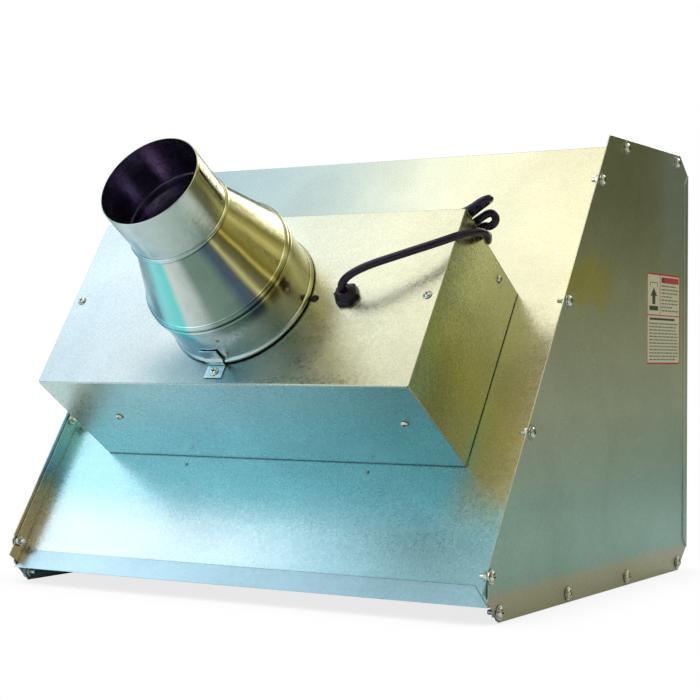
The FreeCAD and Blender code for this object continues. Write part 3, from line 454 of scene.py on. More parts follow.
def duct_metal():
    """Bright rolled duct: fine lines round the axis, smudges, specks and its casts, with a
    painted purple reflection inside, a painted shadow line at its foot and painted
    shade where other surfaces are close.
    """
    graph = Surface("duct_metal")
    place = graph.local(DUCT)
    across, up, height = graph.axes(place)
    turn = graph.around(place)
    rolled = graph.vector(graph.product(turn, 4.0), 0.0, graph.product(height, 700.0))
    lines = graph.noise(rolled, 1.0, 4.0, 0.6)
    smudge = graph.noise(place, 26.0, 5.0, 0.65, 1.0)
    specks = graph.noise(place, 420.0, 3.0, 0.6)
    colour = graph.fade(smudge, 0.35, 0.75, (0.80, 0.82, 0.82), (0.68, 0.70, 0.70))
    colour = graph.fade(specks, 0.66, 0.74, colour, (0.42, 0.43, 0.42), 0.5)
    wander = graph.noise(graph.vector(graph.product(turn, 9.0), 0.0,
                                      graph.product(height, 12.0)), 1.0, 2.0)
    around = graph.total(turn, graph.span(wander, 0.3, 0.7, -0.003, 0.003))
    bands = graph.ramp(around, DUCT_BANDS)
    on_cone = graph.product(graph.span(height, 0.030, 0.046, 0.0, 1.0),
                            graph.span(height, 0.125, 0.135, 1.0, 0.0))
    bands = graph.mix(on_cone, graph.ramp(around, DUCT_CALM), bands)
    from_axis = graph.vector(across, up, 0.0)
    outward = graph.vector_math("NORMALIZE", from_axis)
    straight = graph.true_normal()
    turned = graph.node("VectorTransform", {0: straight}, vector_type="NORMAL",
                        convert_from="WORLD", convert_to="OBJECT").outputs[0]
    rotation = DUCT.inverted().to_euler()
    turned = graph.node("Mapping", {"Vector": turned, "Rotation": rotation},
                        vector_type="NORMAL").outputs[0]
    # Inside the duct the bands give way to a painted purple reflection.
    inside = graph.math("LESS_THAN", graph.dot(outward, turned), -0.2)
    bands = graph.mix(inside, bands, (0.60, 0.48, 0.74))
    colour = graph.times(colour, bands)
    # A painted shadow line round the tube where it meets the fan box's face; the bracket's
    # foot, further out, is left alone.
    beyond_collar = graph.span(graph.length(from_axis), 79.3 * MM, 79.8 * MM, 0.0, 1.0)
    foot = graph.math("MAXIMUM", graph.span(height, 0.8 * MM, 2.6 * MM, 0.06, 1.0),
                      beyond_collar)
    colour = graph.dimmed(colour, foot)
    # Painted shade where another surface is close.
    colour = graph.crevice_shade(colour, 2.0 * MM, dark=0.35)
    rough = graph.total(graph.span(smudge, 0.4, 0.7, 0.15, 0.25),
                        graph.span(lines, 0.3, 0.7, 0.0, 0.06))
    normal = graph.facets(place, 420.0, 0.03, straight)
    normal = graph.bump(lines, 0.04 * MM, 0.5, normal)
    graph.finish(colour, rough, normal, Metallic=1.0)


def plated(name, bright, dull, roughness):
    """A small turned or pressed metal part with a worn, uneven plating, and painted shade
    where other surfaces are close.
    """
    graph = Surface(name)
    blotches = graph.noise(graph.place, 260.0, 4.0, 0.6, 0.5)
    scratches = graph.noise(graph.stretched(graph.place, (1.0, 0.2, 5.0)), 800.0, 3.0)
    colour = graph.fade(blotches, 0.35, 0.7, bright, dull)
    rough = graph.span(scratches, 0.3, 0.7, roughness, roughness + 0.16)
    # Painted shade where another surface is close.
    colour = graph.crevice_shade(colour, 3.0 * MM, 0.35, 0.80, 0.05)
    normal = graph.bump(scratches, 0.02 * MM, 0.5, graph.bevel(0.3 * MM, 4))
    graph.finish(colour, rough, normal, Metallic=1.0)


def moulded(name, colour, dusty, roughness):
    """Moulded plastic with a fine spark grain and a little dust."""
    graph = Surface(name)
    pits = graph.noise(graph.place, 1400.0, 3.0, 0.6)
    dust = graph.noise(graph.place, 60.0, 4.0, 0.6)
    tone = graph.fade(dust, 0.5, 0.75, colour, dusty, 0.5)
    rough = graph.span(pits, 0.3, 0.7, roughness - 0.06, roughness + 0.1)
    graph.finish(tone, rough, graph.bump(pits, 0.03 * MM, 0.5), Specular_IOR_Level=0.3)


def cord_jacket():
    """Soft cable jacket: nearly black, unevenly glossy, with a faint grain."""
    graph = Surface("cord_jacket")
    ripple = graph.noise(graph.place, 120.0, 4.0, 0.6, 0.8)
    fine = graph.noise(graph.place, 1100.0, 2.0, 0.6)
    colour = graph.fade(ripple, 0.45, 0.7, (0.012, 0.003, 0.022), (0.026, 0.010, 0.034))
    rough = graph.span(ripple, 0.3, 0.7, 0.13, 0.24)
    normal = graph.bump(fine, 0.02 * MM, 0.4, graph.bump(ripple, 0.15 * MM, 0.4))
    graph.finish(colour, rough, normal, Specular_IOR_Level=0.32)


def wound_copper():
    """Enamelled winding wire, laid turn on turn."""
    graph = Surface("copper_winding")
    place = graph.local(DUCT)
    inputs = {"Vector": place, "Scale": 320.0, "Distortion": 1.5, "Detail": 1.0}
    wires = graph.node("TexWave", inputs, bands_direction="DIAGONAL").outputs["Fac"]
    tone = graph.noise(place, 90.0, 3.0)
    colour = graph.mix(tone, (0.62, 0.22, 0.07), (0.80, 0.36, 0.14))
    graph.finish(colour, graph.span(wires, 0.0, 1.0, 0.42, 0.24),
                 graph.bump(wires, 0.3 * MM, 0.8), Metallic=0.9, Coat_Weight=0.5)


def stacked_laminations():
    """Punched electrical steel, stacked along the fan's axis, with oxide on it."""
    graph = Surface("laminations")
    place = graph.local(DUCT)
    inputs = {"Vector": place, "Scale": 330.0, "Distortion": 0.3, "Detail": 2.0}
    sheets = graph.node("TexWave", inputs, bands_direction="Z").outputs["Fac"]
    rust = graph.noise(place, 70.0, 5.0, 0.65)
    colour = graph.fade(rust, 0.45, 0.75, (0.20, 0.21, 0.23), (0.30, 0.17, 0.10))
    graph.finish(colour, graph.span(rust, 0.4, 0.7, 0.38, 0.62),
                 graph.bump(sheets, 0.2 * MM, 0.7), Metallic=0.9)


def painted_steel():
    """The motor's drawn shell: grey paint with orange peel and rubbed patches."""
    graph = Surface("motor_steel")
    peel = graph.noise(graph.place, 420.0, 2.0, 0.5)
    rubbed = graph.noise(graph.place, 60.0, 5.0, 0.7)
    bare = graph.span(rubbed, 0.64, 0.72, 0.0, 1.0)
    colour = graph.mix(bare, (0.055, 0.060, 0.066), (0.45, 0.46, 0.47))
    graph.finish(colour, graph.span(peel, 0.3, 0.7, 0.30, 0.44),
                 graph.bump(peel, 0.12 * MM, 0.5), Metallic=bare)


def sintered_bronze():
    """An oil-soaked sintered bush: fine open pores in a warm metal."""
    graph = Surface("bronze_bush")
    pores = graph.cells(graph.place, 1500.0, "Distance")
    tone = graph.noise(graph.place, 200.0, 3.0)
    colour = graph.mix(tone, (0.50, 0.30, 0.13), (0.68, 0.45, 0.22))
    graph.finish(colour, graph.span(pores, 0.0, 0.6, 0.5, 0.3),
                 graph.bump(pores, 0.1 * MM, 0.6), Metallic=1.0)


def brushed_aluminium():
    """Pressed aluminium blades, brushed round the axis, with dust on them."""
    graph = Surface("impeller_metal")
    place = graph.local(DUCT)
    x, y, height = graph.axes(place)
    radius = graph.math("SQRT", graph.total(graph.product(x, x),
                                            graph.product(y, y)))
    rings = graph.vector(graph.product(graph.around(place), 5.0),
                         graph.product(height, 60.0),
                         graph.product(radius, 900.0))
    brushed = graph.noise(rings, 1.0, 4.0, 0.6)
    dust = graph.noise(place, 50.0, 4.0, 0.6)
    colour = graph.fade(dust, 0.45, 0.75, (0.86, 0.87, 0.88), (0.60, 0.59, 0.56))
    graph.finish(colour, graph.span(brushed, 0.3, 0.7, 0.26, 0.46),
                 graph.bump(brushed, 0.05 * MM, 0.6), Metallic=1.0)


def filter_card():
    """Grey-brown chipboard: short fibres, flecks and soft dents."""
    graph = Surface("filter_card")
    drawn = graph.stretched(graph.place, (1.0, 3.0, 3.0))
    fibres = graph.noise(drawn, 700.0, 4.0, 0.7, 1.0)
    flecks = graph.cells(graph.place, 520.0, "Distance")
    dents = graph.noise(graph.place, 30.0, 3.0)
    colour = graph.fade(fibres, 0.3, 0.7, (0.50, 0.41, 0.29), (0.62, 0.53, 0.39))
    colour = graph.mix(graph.span(flecks, 0.0, 0.12, 0.6, 0.0), colour, (0.24, 0.19, 0.14))
    normal = graph.bump(fibres, 0.12 * MM, 0.6, graph.bump(dents, 1.0 * MM, 0.5))
    graph.finish(colour, 0.88, normal, Sheen_Weight=0.15)


def filter_fibre():
    """Bonded polyester fleece, with painted shade in its hollows and patches of overspray
    dust.
    """
    graph = Surface("filter_fibre")
    place = graph.local(BOX)
    tangled = graph.noise(place, 520.0, 6.0, 0.72, 2.2)
    hollows = graph.noise(place, 110.0, 4.0, 0.65, 0.8)
    dust = graph.noise(place, 12.0, 3.0)
    colour = graph.fade(tangled, 0.3, 0.7, (0.52, 0.56, 0.60), (0.90, 0.92, 0.93))
    # Painted shade in the hollows.
    colour = graph.fade(hollows, 0.55, 0.35, colour, (0.40, 0.42, 0.43), 0.45)
    colour = graph.fade(dust, 0.4, 0.8, colour, (0.55, 0.50, 0.42), 0.35)
    normal = graph.bump(tangled, 0.9 * MM, 0.9, graph.bump(hollows, 1.5 * MM, 0.6))
    graph.finish(colour, 0.95, normal, Sheen_Weight=0.5, Sheen_Roughness=0.6)


def foam_strip():
    """Open-cell gasket foam: pores darkened with painted shade, with torn skins between
    them.
    """
    graph = Surface("foam_strip")
    pores = graph.cells(graph.place, 950.0, "Distance")
    wide = graph.cells(graph.place, 420.0, "Distance")
    # Painted shade in the pores.
    colour = graph.fade(pores, 0.1, 0.5, (0.015, 0.015, 0.017), (0.085, 0.085, 0.09))
    normal = graph.bump(pores, 0.4 * MM, 0.9, graph.bump(wide, 0.5 * MM, 0.5))
    graph.finish(colour, 0.92, normal)


def label_film(name, colour, worn):
    """Printed polyester film with faint dots of ink and rubbed places."""
    graph = Surface(name)
    dots = graph.noise(graph.place, 1900.0, 2.0, 0.6)
    rubbed = graph.noise(graph.place, 95.0, 4.0, 0.65)
    tone = graph.fade(dots, 0.35, 0.65, colour, worn, 0.5)
    tone = graph.fade(rubbed, 0.62, 0.75, tone, worn, 0.6)
    graph.finish(tone, graph.span(rubbed, 0.3, 0.7, 0.28, 0.42),
                 graph.bump(rubbed, 0.08 * MM, 0.4), Coat_Weight=0.2)


def weld_stain():
    """The bronze-coloured bloom that a spot weld leaves."""
    graph = Surface("weld_stain")
    burnt = graph.noise(graph.place, 700.0, 4.0, 0.6, 0.8)
    colour = graph.fade(burnt, 0.35, 0.65, (0.30, 0.12, 0.04), (0.62, 0.36, 0.16))
    graph.finish(colour, graph.span(burnt, 0.3, 0.7, 0.30, 0.5),
                 graph.bump(burnt, 0.1 * MM, 0.6), Metallic=0.85)


# How the rolling marks are stretched: long across the slope, or long up and out of it.
STREAK_ACROSS = (0.04, 1.0, 1.0)
STREAK_UP = (1.0, 0.06, 0.06)

zinc_sheet("slope_sheet", BACK, STREAK_ACROSS)
zinc_sheet("back_sheet", BACK, STREAK_ACROSS, 0.24, back_cast, tuple(OUT))
zinc_sheet("cover_sheet", BOX, STREAK_ACROSS, 0.25, cover_cast)
zinc_sheet("side_sheet", BACK, STREAK_UP, 0.28, side_cast, (-1.0, 0.0, 0.0))
zinc_sheet("far_side_sheet", BACK, STREAK_UP, 0.28, far_side_cast)
zinc_sheet("lip_sheet", BACK, STREAK_ACROSS, 0.28, lip_cast, (0.0, 1.0, -0.2))
zinc_sheet("end_sheet", BOX, STREAK_UP, 0.22, end_cast)
duct_metal()
plated("zinc_hardware", (0.88, 0.89, 0.88), (0.46, 0.44, 0.36), 0.12)
painted_steel()
stacked_laminations()
wound_copper()
sintered_bronze()
brushed_aluminium()
moulded("black_plastic", (0.010, 0.004, 0.018), (0.030, 0.022, 0.034), 0.30)
cord_jacket()
moulded("lead_jacket", (0.42, 0.42, 0.40), (0.24, 0.23, 0.22), 0.38)
plated("plug_brass", (0.83, 0.66, 0.34), (0.62, 0.46, 0.22), 0.22)
filter_card()
filter_fibre()
foam_strip()
label_film("label_film", (0.80, 0.77, 0.66), (0.68, 0.64, 0.53))
label_film("label_red", (0.62, 0.03, 0.06), (0.45, 0.05, 0.06))
label_film("label_black", (0.03, 0.025, 0.02), (0.12, 0.10, 0.08))
label_film("label_grey", (0.20, 0.17, 0.14), (0.34, 0.30, 0.25))
weld_stain()

# The galvanised nodes that have a cast; the others are of slope_sheet.
SHEETS = {"side_panel_left": "side_sheet", "side_panel_right": "far_side_sheet",
          "fan_box_end_left": "end_sheet", "fan_box_end_right": "end_sheet",
          "fan_box_cover": "cover_sheet", "back_panel": "back_sheet",
          "floor_panel": "lip_sheet"}


def finish_cad_nodes():
    """Gives every CAD node the material of its slot in the record."""
    slots = {part["node"]: part["material_slot"] for part in frame["record"]["subparts"]}
    for name, thing in NODES.items():
        slot = slots[name]
        if slot == "galvanised_sheet":
            slot = SHEETS.get(name, "slope_sheet")
        thing.data.materials.clear()
        thing.data.materials.append(materials[slot])


# ---------------------------------------------------------------- new pieces

def in_scene(name, data):
    """A new object of the scene, around its mesh, light or camera."""
    thing = bpy.data.objects.new(name, data)
    bpy.context.scene.collection.objects.link(thing)
    return thing


def new_piece(name, mesh, material, body):
    mesh.materials.append(materials[material])
    thing = in_scene(name, mesh)
    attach(thing, body)


def mesh_from(name, points, faces, smooth=True):
    mesh = bpy.data.meshes.new(name)
    mesh.from_pydata([tuple(point) for point in points], [], faces)
    bm = bmesh.new()
    bm.from_mesh(mesh)
    bmesh.ops.recalc_face_normals(bm, faces=bm.faces)
    bm.to_mesh(mesh)
    bm.free()
    for face in mesh.polygons:
        face.use_smooth = smooth
    return mesh


def joined_piece(name, parts, material, body, smooth=True):
    """One piece from several lists of (points, faces)."""
    points, faces = [], []
    for part_points, part_faces in parts:
        start = len(points)
        points += part_points
        faces += [tuple(start + index for index in face) for face in part_faces]
    new_piece(name, mesh_from(name, points, faces, smooth), material, body)


def plate(corners, thick, lift):
    """A flat plate from its outline: corners are places on its base, lift is
    the way out of it."""
    count = len(corners)
    points = list(corners) + [corner + lift * thick for corner in corners]
    faces = [tuple(range(count)), tuple(range(2 * count - 1, count - 1, -1))]
    faces += [(index, (index + 1) % count, count + (index + 1) % count, count + index)
              for index in range(count)]
    return points, faces


def around_axis(angle):
    """The way out of the duct's axis at an angle from +X towards up the slope."""
    turn = math.radians(angle)
    return Vector((math.cos(turn), 0.0, 0.0)) + UP * math.sin(turn)


def ring_place(angle, height, radius):
    """A place round the duct's axis, at a height over the fan box's face."""
    return DUCT.to_translation() + OUT * height + around_axis(angle) * radius


def curved_patch(start, end, low, high, inner, outer, steps=24):
    """A thin sheet bent round the duct's axis, between two angles, heights and radii."""
    points, faces = [], []
    for step in range(steps + 1):
        angle = start + (end - start) * step / steps
        for height, radius in ((low, inner), (low, outer), (high, outer), (high, inner)):
            points.append(ring_place(angle, height, radius))
    for step in range(steps):
        first, second = 4 * step, 4 * step + 4
        for side in range(4):
            after = (side + 1) % 4
            faces.append((first + side, first + after, second + after, second + side))
    faces += [(0, 1, 2, 3), (4 * steps + 3, 4 * steps + 2, 4 * steps + 1, 4 * steps)]
    return points, faces


def lens(place, way, radius, tall, sides=20, rings=4):
    """A low round button on a surface; way points out of the surface."""
    flatness = 2.2
    way = way.normalized()
    first = way.orthogonal().normalized()
    second = way.cross(first)
    points, faces = [place + way * tall], []
    for ring in range(1, rings + 1):
        out = ring / rings
        level = tall * (1.0 - out ** flatness)
        for side in range(sides):
            turn = 2 * math.pi * side / sides
            aside = first * math.cos(turn) + second * math.sin(turn)
            points.append(place + way * level + aside * radius * out)
    for side in range(sides):
        after = (side + 1) % sides
        faces.append((0, 1 + side, 1 + after))
        for ring in range(rings - 1):
            near_ring, far_ring = 1 + ring * sides, 1 + (ring + 1) * sides
            faces.append((near_ring + side, far_ring + side, far_ring + after,
                          near_ring + after))
    last = 1 + (rings - 1) * sides
    faces.append(tuple(last + side for side in reversed(range(sides))))
    return points, faces


TUBE_RADIUS = 76.2 * MM
OUTLET_RADIUS = 50.8 * MM

# How far the outer face of the lower bracket's leg stands off the tube's wall.
BRACKET_LEG_OUT = 1.93 * MM


def make_duct_marks():
    """The outlet pipe's lapped seam with its pressed dimples and a black strip for the
    painted shadow at its edge, and the spot welds.
    """
    lap_start, lap_end, gap_end = 150.0, 164.5, 167.3
    under_skin = OUTLET_RADIUS - 0.1 * MM
    lap = curved_patch(lap_start, lap_end, 137.0 * MM, 181.5 * MM, under_skin,
                       OUTLET_RADIUS + 0.45 * MM)
    joined_piece("outlet_lap", [lap], "duct_metal", "booth", smooth=False)
    # A thin black strip at the lap's edge: a painted shadow of the seam.
    gap_shadow = curved_patch(lap_end, gap_end, 138.0 * MM, 180.5 * MM, under_skin,
                       OUTLET_RADIUS + 0.30 * MM, 4)
    joined_piece("outlet_lap_gap_shadow", [gap_shadow], "black_plastic", "booth")
    seam = 157.5
    dimples = [lens(ring_place(seam, height, OUTLET_RADIUS + 0.4 * MM), around_axis(seam),
                    1.7 * MM, 0.5 * MM)
               for height in (174.0 * MM, 162.0 * MM, 149.5 * MM)]
    joined_piece("outlet_dimples", dimples, "duct_metal", "booth")
    # Each weld's angle, height over the fan box's face, and radius.
    tube_welds = ((-103.4, 34.0, 1.9), (-103.4, 14.0, 1.9), (-176.0, 36.0, 1.0),
                  (-176.0, 13.6, 1.0), (-168.6, 33.6, 2.6))
    welds = [lens(ring_place(angle, height * MM, TUBE_RADIUS - 0.05 * MM),
                  around_axis(angle), radius * MM, 0.35 * MM)
             for angle, height, radius in tube_welds]
    welds += [lens(ring_place(angle, 15.5 * MM, TUBE_RADIUS + BRACKET_LEG_OUT),
                   around_axis(-90.0), 1.5 * MM, 0.3 * MM) for angle in (-92.6, -87.4)]
    joined_piece("collar_welds", welds, "weld_stain", "booth")


# ---------------------------------------------------------------- the label's print

def make_label_print():
    """Plain blocks where the real label has its print: a border, a header,
    an arrow out of a hood, and bars for the lines.  The numbers are parts of the
    label's width and height."""
    low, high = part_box("side_label")
    outward = Vector((-1.0, 0.0, 0.0))
    wide, tall = high.y - low.y, high.z - low.z

    def spot(across, down):
        return Vector((low.x, high.y - across * wide, high.z - down * tall))

    def block(left, top, right, bottom, thick=0.05 * MM):
        return plate([spot(left, top), spot(right, top), spot(right, bottom),
                      spot(left, bottom)], thick, outward)

    edge, word_gap, word_tall = 0.018, 0.018, 0.016
    red = [block(0.0, 0.0, 1.0, edge), block(0.0, 1.0 - edge, 1.0, 1.0),
           block(0.0, edge, edge, 1.0 - edge), block(1.0 - edge, edge, 1.0, 1.0 - edge),
           block(edge, 0.455, 1.0 - edge, 0.467), block(0.38, edge, 0.395, 0.455),
           block(0.43, 0.035, 0.96, 0.10)]
    arrow = [(0.20, 0.16), (0.30, 0.25), (0.245, 0.25), (0.245, 0.34), (0.155, 0.34),
             (0.155, 0.25), (0.10, 0.25)]
    black = [plate([spot(*corner) for corner in arrow], 0.05 * MM, outward),
             block(0.07, 0.36, 0.33, 0.41), block(0.45, 0.045, 0.52, 0.09, 0.08 * MM),
             block(0.09, 0.10, 0.31, 0.107), block(0.09, 0.107, 0.103, 0.15),
             block(0.297, 0.107, 0.31, 0.15), block(0.08, 0.49, 0.84, 0.515)]
    grey = []
    chance = random.Random(7)
    rows = [(0.43, 0.94, 0.125 + 0.039 * row) for row in range(8)]
    rows += [(0.07, 0.94, 0.545 + 0.036 * row) for row in range(12)]
    for left, right, top in rows:
        end = right - chance.choice((0.0, 0.0, 0.06, 0.18))
        while left < end:
            word = min(left + chance.uniform(0.04, 0.12), end)
            grey.append(block(left, top, word, top + word_tall))
            left = word + word_gap
    for name, blocks in (("red", red), ("black", black), ("grey", grey)):
        joined_piece(f"label_print_{name}", blocks, f"label_{name}", "booth",
                     smooth=False)


# ---------------------------------------------------------------- the filter

def make_filter_pad():
    """A lofted fibre pad: crowned, quilted in squares and uneven all over."""
    half_wide, half_tall = 175.5 * MM, 99.0 * MM
    back, front = -6.9 * MM, -22.6 * MM
    across_steps, up_steps = 150, 86
    soft_edge, quilt_pitch = 7 * MM, 26 * MM
    points, faces = [], []
    for out, bulge in ((back, 0.6 * MM), (front, -1.2 * MM)):
        for row in range(up_steps + 1):
            for column in range(across_steps + 1):
                u, v = 2 * column / across_steps - 1, 2 * row / up_steps - 1
                x, y = u * half_wide, v * half_tall
                edge = min(1.0, (1 - abs(u)) * half_wide / soft_edge,
                           (1 - abs(v)) * half_tall / soft_edge)
                rise = edge * (2 - edge)
                quilt = (math.cos(x * 2 * math.pi / quilt_pitch)
                         * math.cos(y * 2 * math.pi / quilt_pitch))
                place = Vector((x, y, out))
                rough = noise.fractal(place * 160.0, 1.0, 2.1, 5)
                lumps = noise.noise(place * 40.0 + Vector((3.0, 1.0, 7.0)))
                side = 1 if bulge > 0 else -1
                inset = (1 - rise) * (out - (back + front) / 2) * 0.75
                level = out - inset + rise * (bulge * (1 + 0.3 * quilt)
                                              + side * (0.25 * rough + 0.3 * lumps) * MM)
                points.append(BOX @ Vector((x, y, level)))
    row_size = across_steps + 1
    count = row_size * (up_steps + 1)
    for layer in range(2):
        for row in range(up_steps):
            for column in range(across_steps):
                first = layer * count + row * row_size + column
                faces.append((first, first + 1, first + 1 + row_size, first + row_size))
    rim = list(range(row_size))
    rim += [row * row_size + across_steps for row in range(1, up_steps + 1)]
    rim += [up_steps * row_size + column for column in reversed(range(across_steps))]
    rim += [row * row_size for row in reversed(range(1, up_steps))]
    for index, first in enumerate(rim):
        second = rim[(index + 1) % len(rim)]
        faces.append((first, second, second + count, first + count))
    new_piece("filter_pad", mesh_from("filter_pad", points, faces), "filter_fibre",
              "filter")


def make_filter_fuzz():
    """Loose fibre loops on the pad's open side."""
    loops, stride, lifts = 420, 3.2 * MM, (0.1, 0.8, 0.7, 0.1)
    pad_face = -23.3 * MM
    chance = random.Random(11)
    curve = bpy.data.curves.new("filter_fuzz", "CURVE")
    curve.dimensions = "3D"
    curve.bevel_depth = 0.09 * MM
    curve.bevel_resolution = 1
    curve.use_fill_caps = True
    curve.resolution_u = 3
    for _ in range(loops):
        x, y = chance.uniform(-156, 156) * MM, chance.uniform(-80, 80) * MM
        heading = chance.uniform(0, math.tau)
        spline = curve.splines.new("BEZIER")
        spline.bezier_points.add(3)
        for step, point in enumerate(spline.bezier_points):
            heading += chance.uniform(-0.9, 0.9)
            lift = lifts[step] * chance.uniform(0.5, 1.0) * MM
            point.co = BOX @ Vector((x, y, pad_face - lift * 0.5))
            point.handle_left_type = point.handle_right_type = "AUTO"
            x += math.cos(heading) * stride
            y += math.sin(heading) * stride
    drawn = bpy.data.objects.new("fuzz_curves", curve)
    mesh = bpy.data.meshes.new_from_object(drawn)
    bpy.data.objects.remove(drawn)
    new_piece("filter_fuzz", mesh, "filter_fibre", "filter")


def foam_bar(start, end, width, low, high, seed):
    """A length of foam strip with rounded edges and an uneven cut skin."""
    step_long, squareness, waviness = 4 * MM, 0.35, 0.18 * MM
    along = end - start
    length = along.length
    along = along.normalized()
    aside = Vector((-along.y, along.x, 0.0))
    steps, sides = max(8, int(length / step_long)), 16
    points, faces = [], []
    for step in range(steps + 1):
        base = start + along * length * step / steps
        for side in range(sides):
            turn = math.tau * side / sides
            wide, tall = math.cos(turn), math.sin(turn)
            round_x = math.copysign(abs(wide) ** squareness, wide) * width / 2
            round_z = math.copysign(abs(tall) ** squareness, tall) * (high - low) / 2
            place = base + aside * round_x + Vector((0, 0, (low + high) / 2 + round_z))
            wave = noise.noise(place * 300.0 + Vector((seed, 0, 0))) * waviness
            place += aside * (wave if wide > 0 else -wave) * abs(wide)
            points.append(BOX @ place)
    for step in range(steps):
        for side in range(sides):
            after = (side + 1) % sides
            first, second = step * sides, (step + 1) * sides
            faces.append((first + side, first + after, second + after, second + side))
    faces += [tuple(range(sides)),
              tuple(steps * sides + side for side in reversed(range(sides)))]
    return points, faces


def make_gasket():
    """Four lengths of foam, butted at the corners, behind the filter."""
    wide, tall, band = 175.0 * MM, 97.5 * MM, 10.0 * MM
    low, high = -4.9 * MM, -1.05 * MM
    bars = []
    for side in (-1, 1):
        y = side * (tall - band / 2)
        bars.append(foam_bar(Vector((-wide, y, 0)), Vector((wide, y, 0)), band - 0.3 * MM,
                             low, high, 2.0 + side))
        x = side * (wide - band / 2)
        inner = tall - band - 0.1 * MM
        bars.append(foam_bar(Vector((x, -inner, 0)), Vector((x, inner, 0)),
                             band - 0.3 * MM, low, high, 6.0 + side))
    joined_piece("foam_gasket", bars, "foam_strip", "booth")


# ---------------------------------------------------------------- floor and light

def flat_stage(name, add_shape, **settings):
    """A flat shape, made by a bmesh operator, that isn't part of the object."""
    bm = bmesh.new()
    add_shape(bm, **settings)
    mesh = bpy.data.meshes.new(name)
    bm.to_mesh(mesh)
    bm.free()
    thing = in_scene(name, mesh)
    return thing


def make_stage():
    """A pale floor, white to the eye, that darkens softly under the booth."""
    floor = flat_stage("floor", bmesh.ops.create_circle, cap_ends=True, radius=9.0,
                       segments=96)
    floor.location = (0.0, 0.0, -0.6 * MM)
    graph = Surface("pale_floor")
    mottle = graph.noise(graph.place, 2.0, 3.0)
    graph.finish(graph.mix(mottle, (0.86, 0.87, 0.88), (0.90, 0.90, 0.89)), 0.8)
    contact = graph.node("AmbientOcclusion", {"Distance": 0.10}, samples=8)
    shade = graph.span(contact.outputs["AO"], 0.0, 1.0, 0.80, 1.0)
    white = graph.node("Emission", {"Color": (1.0, 1.0, 1.0, 1.0), "Strength": shade})
    graph.show(graph.node("MixShader", {0: graph.is_seen(), 1: graph.shader.outputs[0],
                                        2: white.outputs[0]}))
    floor.data.materials.append(graph.material)


# The way to the camera's left.
CAMERA_LEFT = (0.8585, 0.5129, 0.0)

# What the metal sees level with it, from the camera's right to its left.
LEVEL_BANDS = [
    (0.00, (0.90, 0.86, 0.58)), (0.08, (0.42, 0.37, 0.06)), (0.14, (0.75, 0.70, 0.38)),
    (0.20, (0.14, 0.12, 0.04)), (0.27, (0.60, 0.55, 0.22)), (0.33, (0.16, 0.17, 0.09)),
    (0.44, (0.20, 0.22, 0.14)), (0.50, (0.05, 0.07, 0.16)), (0.58, (0.20, 0.27, 0.24)),
    (0.68, (0.42, 0.48, 0.44)), (0.80, (0.30, 0.42, 0.42)), (0.90, (0.12, 0.66, 0.72)),
    (1.00, (0.60, 0.84, 0.98))]


def make_world():
    """White to the eye.  To the metal it is banded: cool on one side, warm on the other."""
    world = bpy.data.worlds.new("studio")
    bpy.context.scene.world = world
    world.use_nodes = True
    graph = Graph(world.node_tree)
    way = graph.node("TexCoord").outputs["Generated"]
    height = graph.axes(way)[2]
    side = graph.math("MULTIPLY_ADD", graph.dot(way, CAMERA_LEFT), 0.5, 0.5)
    level = graph.ramp(side, LEVEL_BANDS)
    above = graph.ramp(side, [(0.30, (0.62, 0.60, 0.40)), (0.80, (0.42, 0.56, 0.66))])
    colour = graph.fade(height, 0.35, 0.75, level, above)
    colour = graph.mix(graph.is_seen(), colour, (1.0, 1.0, 1.0))
    graph.feed(graph.tree.nodes["Background"].inputs["Color"], colour)
    bpy.context.scene.view_settings.view_transform = "Standard"


def glowing_card(name, place, facing, size, strength, colour_of):
    """A card that lights the booth and shows in its metal, but not to the eye.
    colour_of makes its colour from the graph and a place on the card."""
    card = flat_stage(name, bmesh.ops.create_grid, x_segments=1, y_segments=1, size=0.5)
    card.location = place
    card.rotation_euler = facing.to_track_quat("Z", "Y").to_euler()
    card.scale = (*size, 1.0)
    card.visible_camera = False
    graph = Surface(name)
    position = graph.node("NewGeometry").outputs["Position"]
    graph.show(graph.node("Emission", {"Color": colour_of(graph, position),
                                       "Strength": strength}))
    card.data.materials.append(graph.material)


def sky_colours(graph, position):
    """Cream over the booth's left, ice blue over its right."""
    x = graph.axes(position)[0]
    left_end, wide = 0.6, 2.4
    along = graph.math("DIVIDE", graph.total(x, left_end), wide)
    return graph.ramp(along, [(0.22, (1.0, 0.97, 0.82)), (0.36, (0.94, 0.95, 0.86)),
                              (0.52, (0.86, 0.94, 0.97)), (0.72, (0.84, 0.95, 1.0))])


def wall_colours(graph, position):
    """A dim room beside the booth: olive high up, teal near the floor, brown below."""
    height = graph.axes(position)[2]
    return graph.ramp(height, [(0.0, (0.24, 0.22, 0.14)), (0.045, (0.27, 0.26, 0.18)),
                               (0.07, (0.08, 0.20, 0.17)), (0.14, (0.20, 0.28, 0.23)),
                               (0.24, (0.25, 0.27, 0.19)), (0.36, (0.17, 0.18, 0.11)),
                               (0.52, (0.13, 0.14, 0.08))])


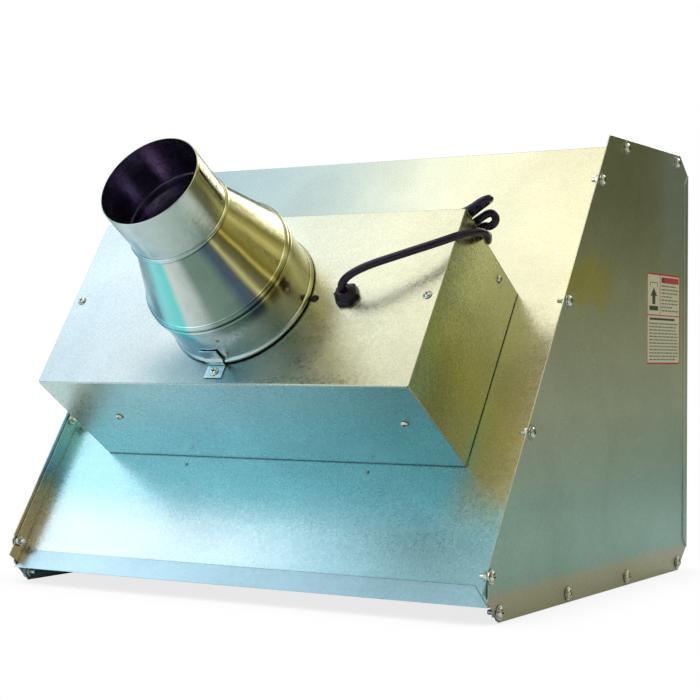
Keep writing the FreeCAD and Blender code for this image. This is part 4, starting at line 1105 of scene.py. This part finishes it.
def soft_light(name, place, aim, size, watts, colour):
    data = bpy.data.lights.new(name, "AREA")
    data.shape = "RECTANGLE"
    data.size, data.size_y = size
    data.energy = watts
    data.color = colour
    light = in_scene(name, data)
    light.location = place
    light.rotation_euler = (place - aim).to_track_quat("Z", "Y").to_euler()
    light.visible_camera = False


def make_lights():
    """Two cards for the metal to reflect, and three lights.  The one in the tube is
    very weak and can't be seen itself."""
    glowing_card("sky_card", from_front(0.62, 0.88, 1.20),
                 Vector((-0.40, -0.33, -0.79)).normalized(), (2.4, 1.7), 1.55, sky_colours)
    glowing_card("room_wall", from_front(-1.15, -1.1, 0.5), Vector((0.51, 0.86, 0.0)),
                 (3.2, 1.3), 1.0, wall_colours)
    soft_light("front_fill", place=from_front(-0.3, -1.6, 1.2),
               aim=from_front(0.0, 0.1, 0.2), size=(1.6, 1.2), watts=22.0,
               colour=(1.0, 0.99, 0.97))
    soft_light("tube_glow", place=ring_place(220.0, 6.0 * MM, 6.0 * MM),
               aim=ring_place(41.0, 76.0 * MM, 62.0 * MM), size=(0.016, 0.016),
               watts=0.012, colour=(0.55, 0.85, 1.0))
    soft_light("rear_fill", place=from_front(1.2, 2.2, 0.9),
               aim=from_front(0.0, 0.45, 0.25), size=(0.8, 0.6), watts=2.0,
               colour=(0.8, 0.95, 1.0))


def make_camera():
    """Behind the booth, level with it and off to its left, as a long lens sees it."""
    yaw, roll, rise = math.radians(30.855), math.radians(0.266), 0.00029
    data = bpy.data.cameras.new("camera")
    data.sensor_width = 36.0
    data.lens = 87.3
    data.shift_y = 0.0155
    data.clip_end = 50.0
    camera = in_scene("camera", data)
    ahead = Vector((math.sin(yaw), -math.cos(yaw), rise)).normalized()
    level = Vector((-math.cos(yaw), -math.sin(yaw), 0.0))
    above = level.cross(ahead).normalized()
    right = level * math.cos(roll) + above * math.sin(roll)
    above = right.cross(ahead).normalized()
    turn = Matrix((right, above, -ahead)).transposed().to_4x4()
    place = from_front(-0.94941, 1.87739, 0.23548)
    camera.matrix_world = Matrix.Translation(place) @ turn
    bpy.context.scene.camera = camera


finish_cad_nodes()
make_duct_marks()
make_label_print()
make_filter_pad()
make_filter_fuzz()
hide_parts("filter_media")
make_gasket()
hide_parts("filter_gasket")
make_stage()
make_world()
make_lights()
make_camera()
